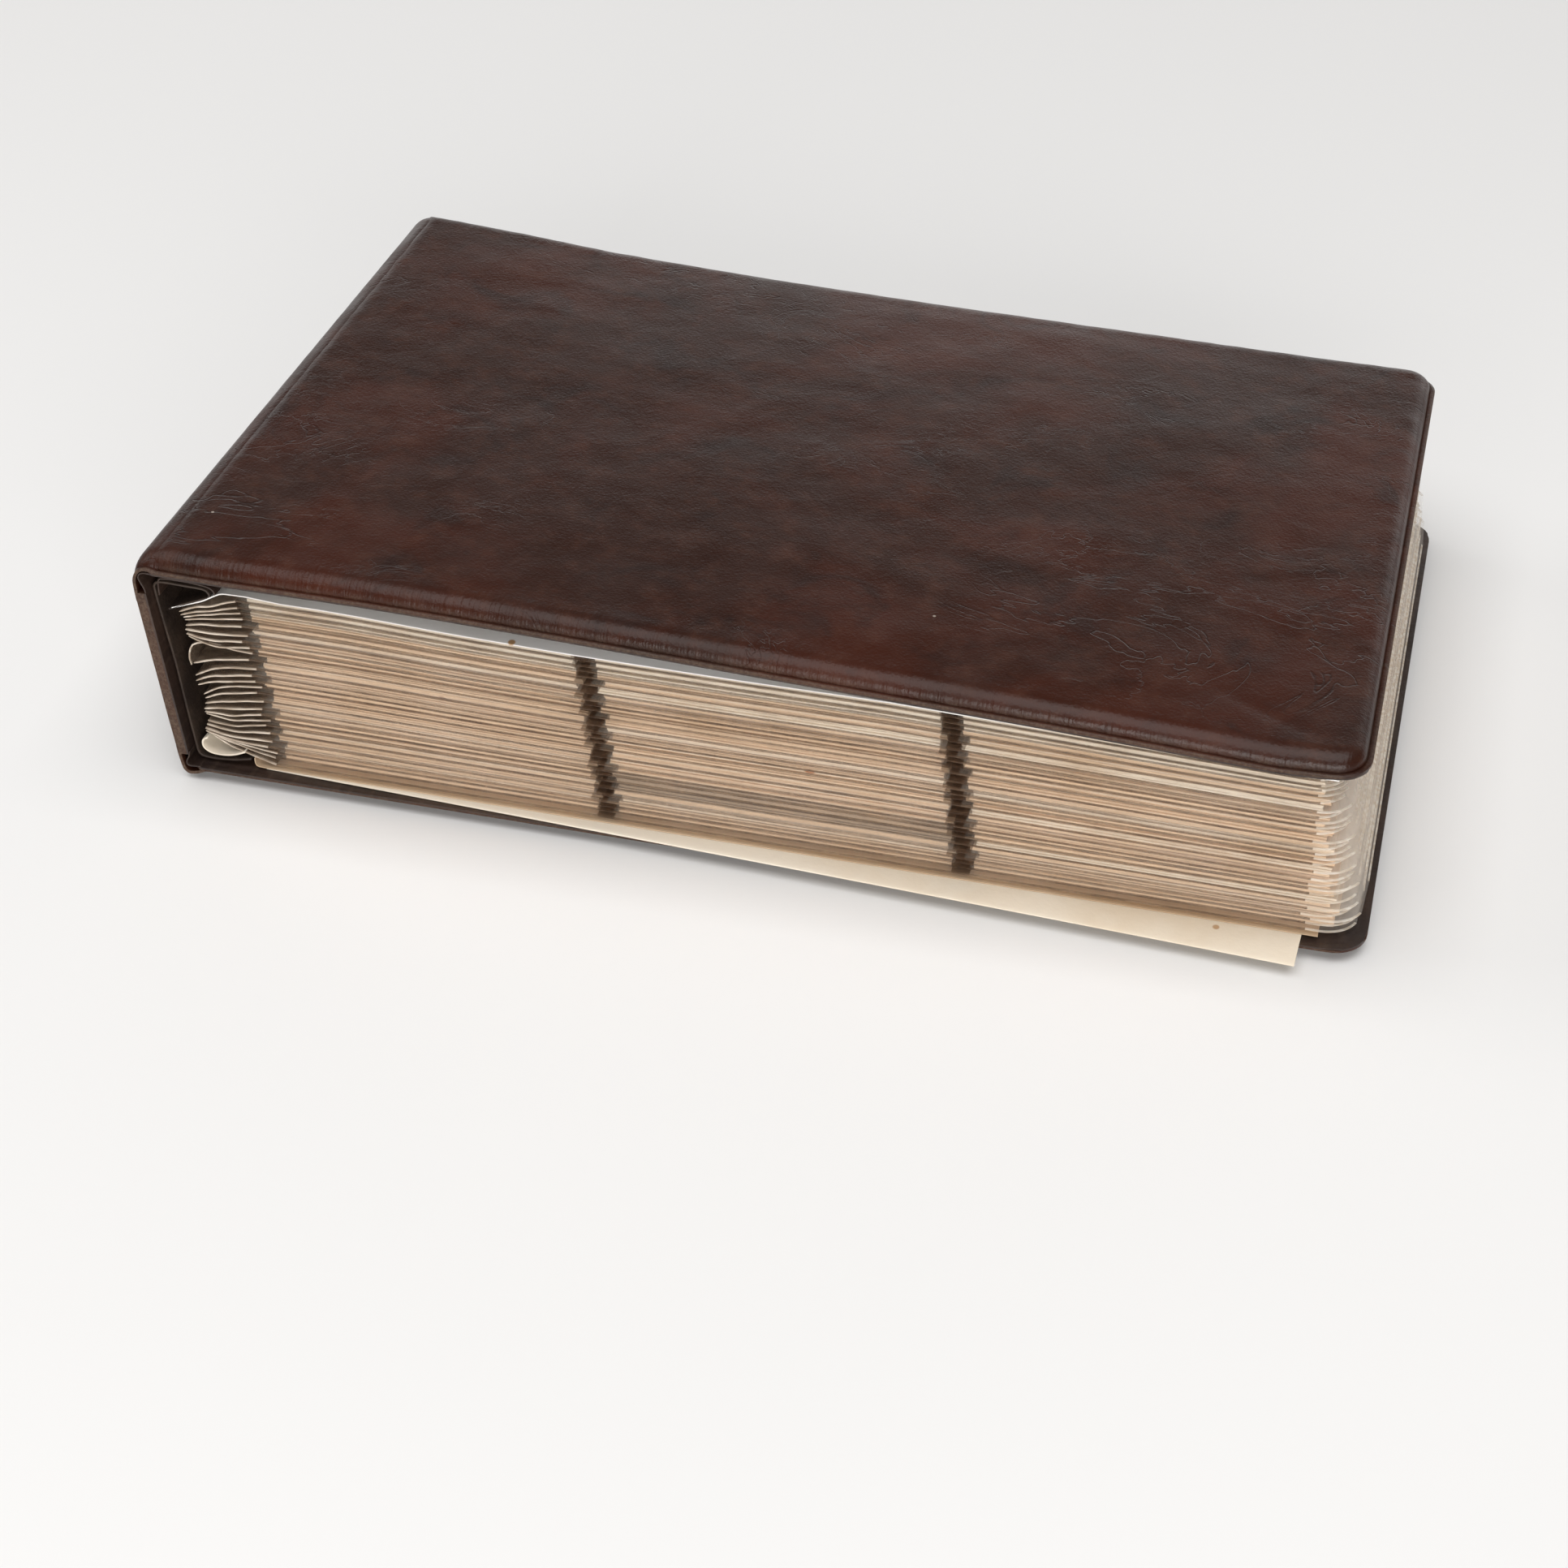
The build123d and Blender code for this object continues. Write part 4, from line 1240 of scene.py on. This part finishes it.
def blend_crease(piece, crease):
    """Bakes a leaf's or sheet's place into its points."""
    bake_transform(piece)


def make_turning_leaves():
    blank, coin = card_box(), coin_blank()
    dice = random.Random(bpy.context.scene.album_leaf.seed + 1)
    card_colour = Vector(bpy.context.scene.album_leaf.cream)
    near = -LEAF_HALF + END_WELD + 0.3
    y = near + CARD_LENGTH / 2
    for number in range(1, TURNING + 1):
        body = f"leaf_{number:02d}"
        film = make_film(number)
        blend_crease(film, CREASES[number - 1])
        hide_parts(body + "_sleeve", "turning_margins")
        cards, coins = {}, {}
        for pocket in range(3):
            place = card_place(number, pocket, -0.58, 0.58, 0.6, near, near + CARD_LENGTH)
            card = make_outward(put_points(copy_piece(blank, f"{body}_card_{pocket}"), place))
            x, z = pocket_middle(number, pocket)
            cut_window(card, x, y, z + stack_warp(x, y, z))
            tint_piece(card, card_colour * (0.86 + 0.12 * dice.random()))
            cards[pocket] = card
            coins[pocket] = place_coin(coin, f"{body}_coin_{pocket}", number, pocket, y)
        if number == 1:
            card = join_pieces([cards.pop(1)], "pulled_card_with_window")
            settle(card, None, "card", "card_stock", "middle_card", "pulled_card")
            struck = join_pieces([coins.pop(1)], "pulled_card_struck_coin")
            settle(struck, None, "bronze", "coin_gold", "middle_card", "pulled_card_coin")
        pack = join_pieces(list(cards.values()), body + "_window_cards")
        settle(pack, None, "card", "card_stock", body, body + "_cards")
        change = join_pieces(list(coins.values()), body + "_struck_coins")
        settle(change, None, "silver", "coin_silver", body, body + "_coins")
    bpy.data.objects.remove(blank)
    bpy.data.objects.remove(coin)


# ---------------------------------------------------------------- sheets


def make_title_sheet():
    crease = hinge_place("title_sheet_turn")
    flat_line = [(13.2, 60.35), (16.0, 60.45), (20.0, 60.45)]
    held = [(0.8, 57.0), (6.0, 57.0), (9.6, 57.3), (11.2, 59.2), *flat_line]
    low_line = [(13.2, 60.2), (16.0, 60.4), (20.0, 60.45)]
    open_end = [(-1.6, 53.6), (3.0, 55.4), (7.4, 57.1), (10.4, 58.8), *low_line]
    count = 26
    rows = [curve_points(line, count) for line in (held, open_end)]
    fore_z = STACK_LOW + LEAF_COUNT * PITCH_FORE + 0.45

    def place(x, y):
        if isinstance(x, tuple):
            px, pz = between(rows, y, 72, 26, x[1])
            return ALBUM_X + px, y, pz
        z = crease[1] + (fore_z - crease[1]) * (x - PAD_START) / (PAD_END - PAD_START)
        droop = 0.7 * (max(abs(y) - 92, 0) / 8) ** 2
        return x, y, z + stack_warp(x, y, z) + 0.12 * wave(x / 40, y / 30, seed=6.6) - droop

    xs = fold_stations(count) + [PAD_START + 10 * i for i in range(1, 28)] + [PAD_END]
    ys = stations(-LEAF_HALF, LEAF_HALF, [0, 1.5, 4, 8, 14, 20], 12.0)
    page = grid_piece("title_sheet_paper", xs, ys, place, 0.35)
    settle(page, 40, "white", "white_paper", None)
    blend_crease(page, crease)
    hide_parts("title_sheet", "turning_margins")


def make_backing_sheet():
    low, high = (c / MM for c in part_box("backing_sheet"))
    start, level, count = low.x, 5.25, 14
    upright = [(start + 0.15, 8.0), (start + 0.1, 6.6), (start + 0.5, 5.5)]
    fold = curve_points([*upright, (start + 2.2, level), (start + 6, level)], count)

    def place(x, y):
        if isinstance(x, tuple):
            px, pz = fold[x[1]]
            return px + 0.5 * wave(y / 18, 2.0), y, pz + 0.3 * wave(y / 9, pz)
        return x, y, level

    xs = fold_stations(count) + [start + 6 + (high.x - start - 6) * i / 24 for i in range(1, 25)]
    ys = stations(-LEAF_HALF, LEAF_HALF, [0, 2, 6, 12], 12.0)
    backing = grid_piece("backing_sheet_paper", xs, ys, place, 0.25)
    settle(backing, 40, "tan", "tan_board", "back_cover", "backing_sheet")


LOOSE_TURN, LOOSE_CORNER = math.radians(-2.3), Vector((140.3, -110.6))
LOOSE_LENGTH, LOOSE_WIDTH, LOOSE_LEVEL = 277.0, 186.0, 4.72


def make_loose_sheet():
    across = Vector((math.cos(LOOSE_TURN), math.sin(LOOSE_TURN)))
    inwards = Vector((-math.sin(LOOSE_TURN), math.cos(LOOSE_TURN)))

    def place(x, y):
        at = LOOSE_CORNER - across * x + inwards * y
        over = max(0.0, -HALF_WIDTH + 1.0 - at.y)
        return at.x, at.y, LOOSE_LEVEL - 0.035 * over**1.6 + 0.05 * wave(at.x / 40, at.y / 20)

    xs = stations(0, LOOSE_LENGTH, [0, 1, 3], 9.0)
    ys = stations(0, LOOSE_WIDTH, [0, 1, 2, 3, 4.5, 6, 8, 10, 12, 15], 12.0)
    loose = grid_piece("loose_sheet_card", xs, ys, place, 0.55, 0.1)
    settle(loose, 40, "cream", "white_paper", "back_cover", "loose_sheet")


def make_spacer_strip():
    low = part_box("spacer_strip")[0].x / MM
    held = [(12.5, 8.2), (9.5, 7.6), (6.0, 7.3), (3.0, 7.3), (1.4, 7.3), (0.7, 7.35), (0.2, 7.4)]
    rolled = [(12.5, 9.6), (9.5, 8.2), (6.0, 7.4), (2.4, 7.6), (0.4, 9.2), (0.5, 11.4), (2.0, 12.4)]
    count = 30
    rows = [curve_points(line, count) for line in (held, rolled)]

    def place(i, y):
        x, z = between(rows, y, 78, 20, i)
        return low + x, y, z + 0.15 * wave(y / 8, i / 9)

    ys = stations(-LEAF_HALF, LEAF_HALF, [0, 2, 5, 9, 14, 20], 12.0)
    spacer = grid_piece("spacer_strip_card", range(count), ys, place, 0.5, 0.1)
    settle(spacer, 40, "cream", "card_stock", "spine", "spacer_strip")


# ---------------------------------------------------------------- stage


def add_object(name, data):
    made = bpy.data.objects.new(name, data)
    bpy.context.collection.objects.link(made)
    return made


def area_light(name, place, target, size, power, colour):
    data = bpy.data.lights.new(name, "AREA")
    data.shape, data.size, data.size_y = "RECTANGLE", *size
    data.energy, data.color = power, colour
    lamp = add_object(name, data)
    lamp.location = place
    lamp.rotation_euler = (Vector(target) - Vector(place)).to_track_quat("-Z", "Y").to_euler()


def make_stage():
    stage = bpy.context.scene.album_stage
    clear_selection()
    bpy.ops.mesh.primitive_grid_add(x_subdivisions=8, y_subdivisions=8, size=14)
    floor = named("studio_floor")
    made, tree = new_finish("seamless_paper", 0.85)
    grain = noise_value(tree, coordinates(tree), 3.0, 2.0)
    colour = mixed(tree, grain, tuple(stage.floor), tuple(c * 0.985 for c in stage.floor))
    tree.links.new(colour, tree.nodes["Principled BSDF"].inputs["Base Color"])
    floor.data.materials.append(made)

    area_light("top_softbox", (0.1, -0.55, 2.6), (0.1, -0.55, 0.0), (3.2, 2.8), 72, (1.0, 0.995, 0.99))
    area_light("left_softbox", (-1.9, 0.1, 1.3), (0.0, 0.0, 0.0), (1.2, 1.0), 9, (1.0, 0.99, 0.975))
    area_light("front_softbox", (0.5, -1.9, 0.55), (0.0, 0.0, 0.02), (1.8, 0.8), 31, (1.0, 0.985, 0.965))
    area_light("back_reflector", (-0.3, 1.9, 0.44), (-0.3, 0.0, 0.25), (3.2, 0.7), 9.5, (1.0, 0.995, 0.985))

    world = bpy.data.worlds.new("studio_light")
    world.use_nodes = True
    colour, strength = world.node_tree.nodes["Background"].inputs[:2]
    colour.default_value, strength.default_value = (1.0, 0.99, 0.98, 1), 0.06

    data = bpy.data.cameras.new("camera")
    data.lens, data.sensor_width, data.sensor_fit = stage.lens, 36.0, "HORIZONTAL"
    data.clip_start, data.clip_end = 0.01, 40
    camera = add_object("camera", data)
    right, up, back = (0.9650, 0.2620, -0.0116), (-0.1495, 0.5859, 0.7964), (0.2156, -0.7668, 0.6046)
    turn = Matrix((right, up, back)).transposed().to_4x4()
    camera.matrix_world = Matrix.Translation((0.1571, -0.6291, 0.4442)) @ turn
    scene = bpy.context.scene
    scene.world, scene.camera = world, camera
    scene.view_settings.view_transform = "Standard"
    scene.cycles.transparent_max_bounces = 48


# ---------------------------------------------------------------- add-on


class AlbumStep:
    """What each operator does: it makes its own pieces."""

    makes = ()

    def execute(self, context):
        for make in self.makes:
            make()
        return {"FINISHED"}


class AlbumFrontCover(AlbumStep, bpy.types.Operator):
    """Make the padded front cover and its lining"""

    bl_idname = "coin_album.front_cover"
    bl_label = "Front cover"
    makes = (make_front_cover,)


class AlbumBackCover(AlbumStep, bpy.types.Operator):
    """Make the padded back cover and its lining"""

    bl_idname = "coin_album.back_cover"
    bl_label = "Back cover"
    makes = (make_back_cover,)


class AlbumSpine(AlbumStep, bpy.types.Operator):
    """Make the spine panel and its lining"""

    bl_idname = "coin_album.spine"
    bl_label = "Spine"
    makes = (make_spine,)


class AlbumHinges(AlbumStep, bpy.types.Operator):
    """Make the vinyl that bends at the two hinges"""

    bl_idname = "coin_album.hinges"
    bl_label = "Hinges"
    makes = (make_hinges,)


class AlbumBinding(AlbumStep, bpy.types.Operator):
    """Make the binding guard and finish the posts"""

    bl_idname = "coin_album.binding"
    bl_label = "Binding"
    makes = (make_guard, make_posts)


class AlbumTurningLeaves(AlbumStep, bpy.types.Operator):
    """Make the leaves that turn, with their cards and coins"""

    bl_idname = "coin_album.turning_leaves"
    bl_label = "Turning leaves"
    makes = (make_turning_leaves,)


class AlbumStillLeaves(AlbumStep, bpy.types.Operator):
    """Make the leaves that stay in the stack, with their cards"""

    bl_idname = "coin_album.still_leaves"
    bl_label = "Still leaves"
    makes = (make_still_leaves,)


class AlbumSheets(AlbumStep, bpy.types.Operator):
    """Make the title, backing and loose sheets and the spacer"""

    bl_idname = "coin_album.sheets"
    bl_label = "Sheets"
    makes = (make_title_sheet, make_backing_sheet, make_loose_sheet, make_spacer_strip)


class AlbumStage(AlbumStep, bpy.types.Operator):
    """Make the floor, the light and the camera"""

    bl_idname = "coin_album.stage"
    bl_label = "Stage"
    makes = (make_stage,)


OPERATORS = (
    AlbumFrontCover,
    AlbumBackCover,
    AlbumSpine,
    AlbumHinges,
    AlbumBinding,
    AlbumTurningLeaves,
    AlbumStillLeaves,
    AlbumSheets,
    AlbumStage,
)


class AlbumPanel(bpy.types.Panel):
    """Lists the pieces of the coin album"""

    bl_idname = "VIEW3D_PT_coin_album"
    bl_label = "Coin album"
    bl_space_type = "VIEW_3D"
    bl_region_type = "UI"
    bl_category = "Coin album"

    def draw(self, context):
        for group in ("album_case", "album_leaf", "album_stage"):
            settings = getattr(context.scene, group)
            for name in settings.bl_rna.properties.keys():
                if name not in ("rna_type", "name"):
                    self.layout.prop(settings, name)
        for operator in OPERATORS:
            self.layout.operator(operator.bl_idname)


SETTINGS = (
    ("album_case", AlbumCaseSettings),
    ("album_leaf", AlbumLeafSettings),
    ("album_stage", AlbumStageSettings),
)


def register():
    for made in (*(s for _, s in SETTINGS), *OPERATORS, AlbumPanel):
        bpy.utils.register_class(made)
    for name, group in SETTINGS:
        setattr(bpy.types.Scene, name, PointerProperty(type=group))


def unregister():
    for name, _ in SETTINGS:
        delattr(bpy.types.Scene, name)
    for made in (AlbumPanel, *reversed(OPERATORS), *(s for _, s in reversed(SETTINGS))):
        bpy.utils.unregister_class(made)


def main():
    register()
    for step in OPERATORS:
        group, name = step.bl_idname.split(".")
        getattr(getattr(bpy.ops, group), name)()
    clear_selection()


if __name__ == "__main__":
    main()
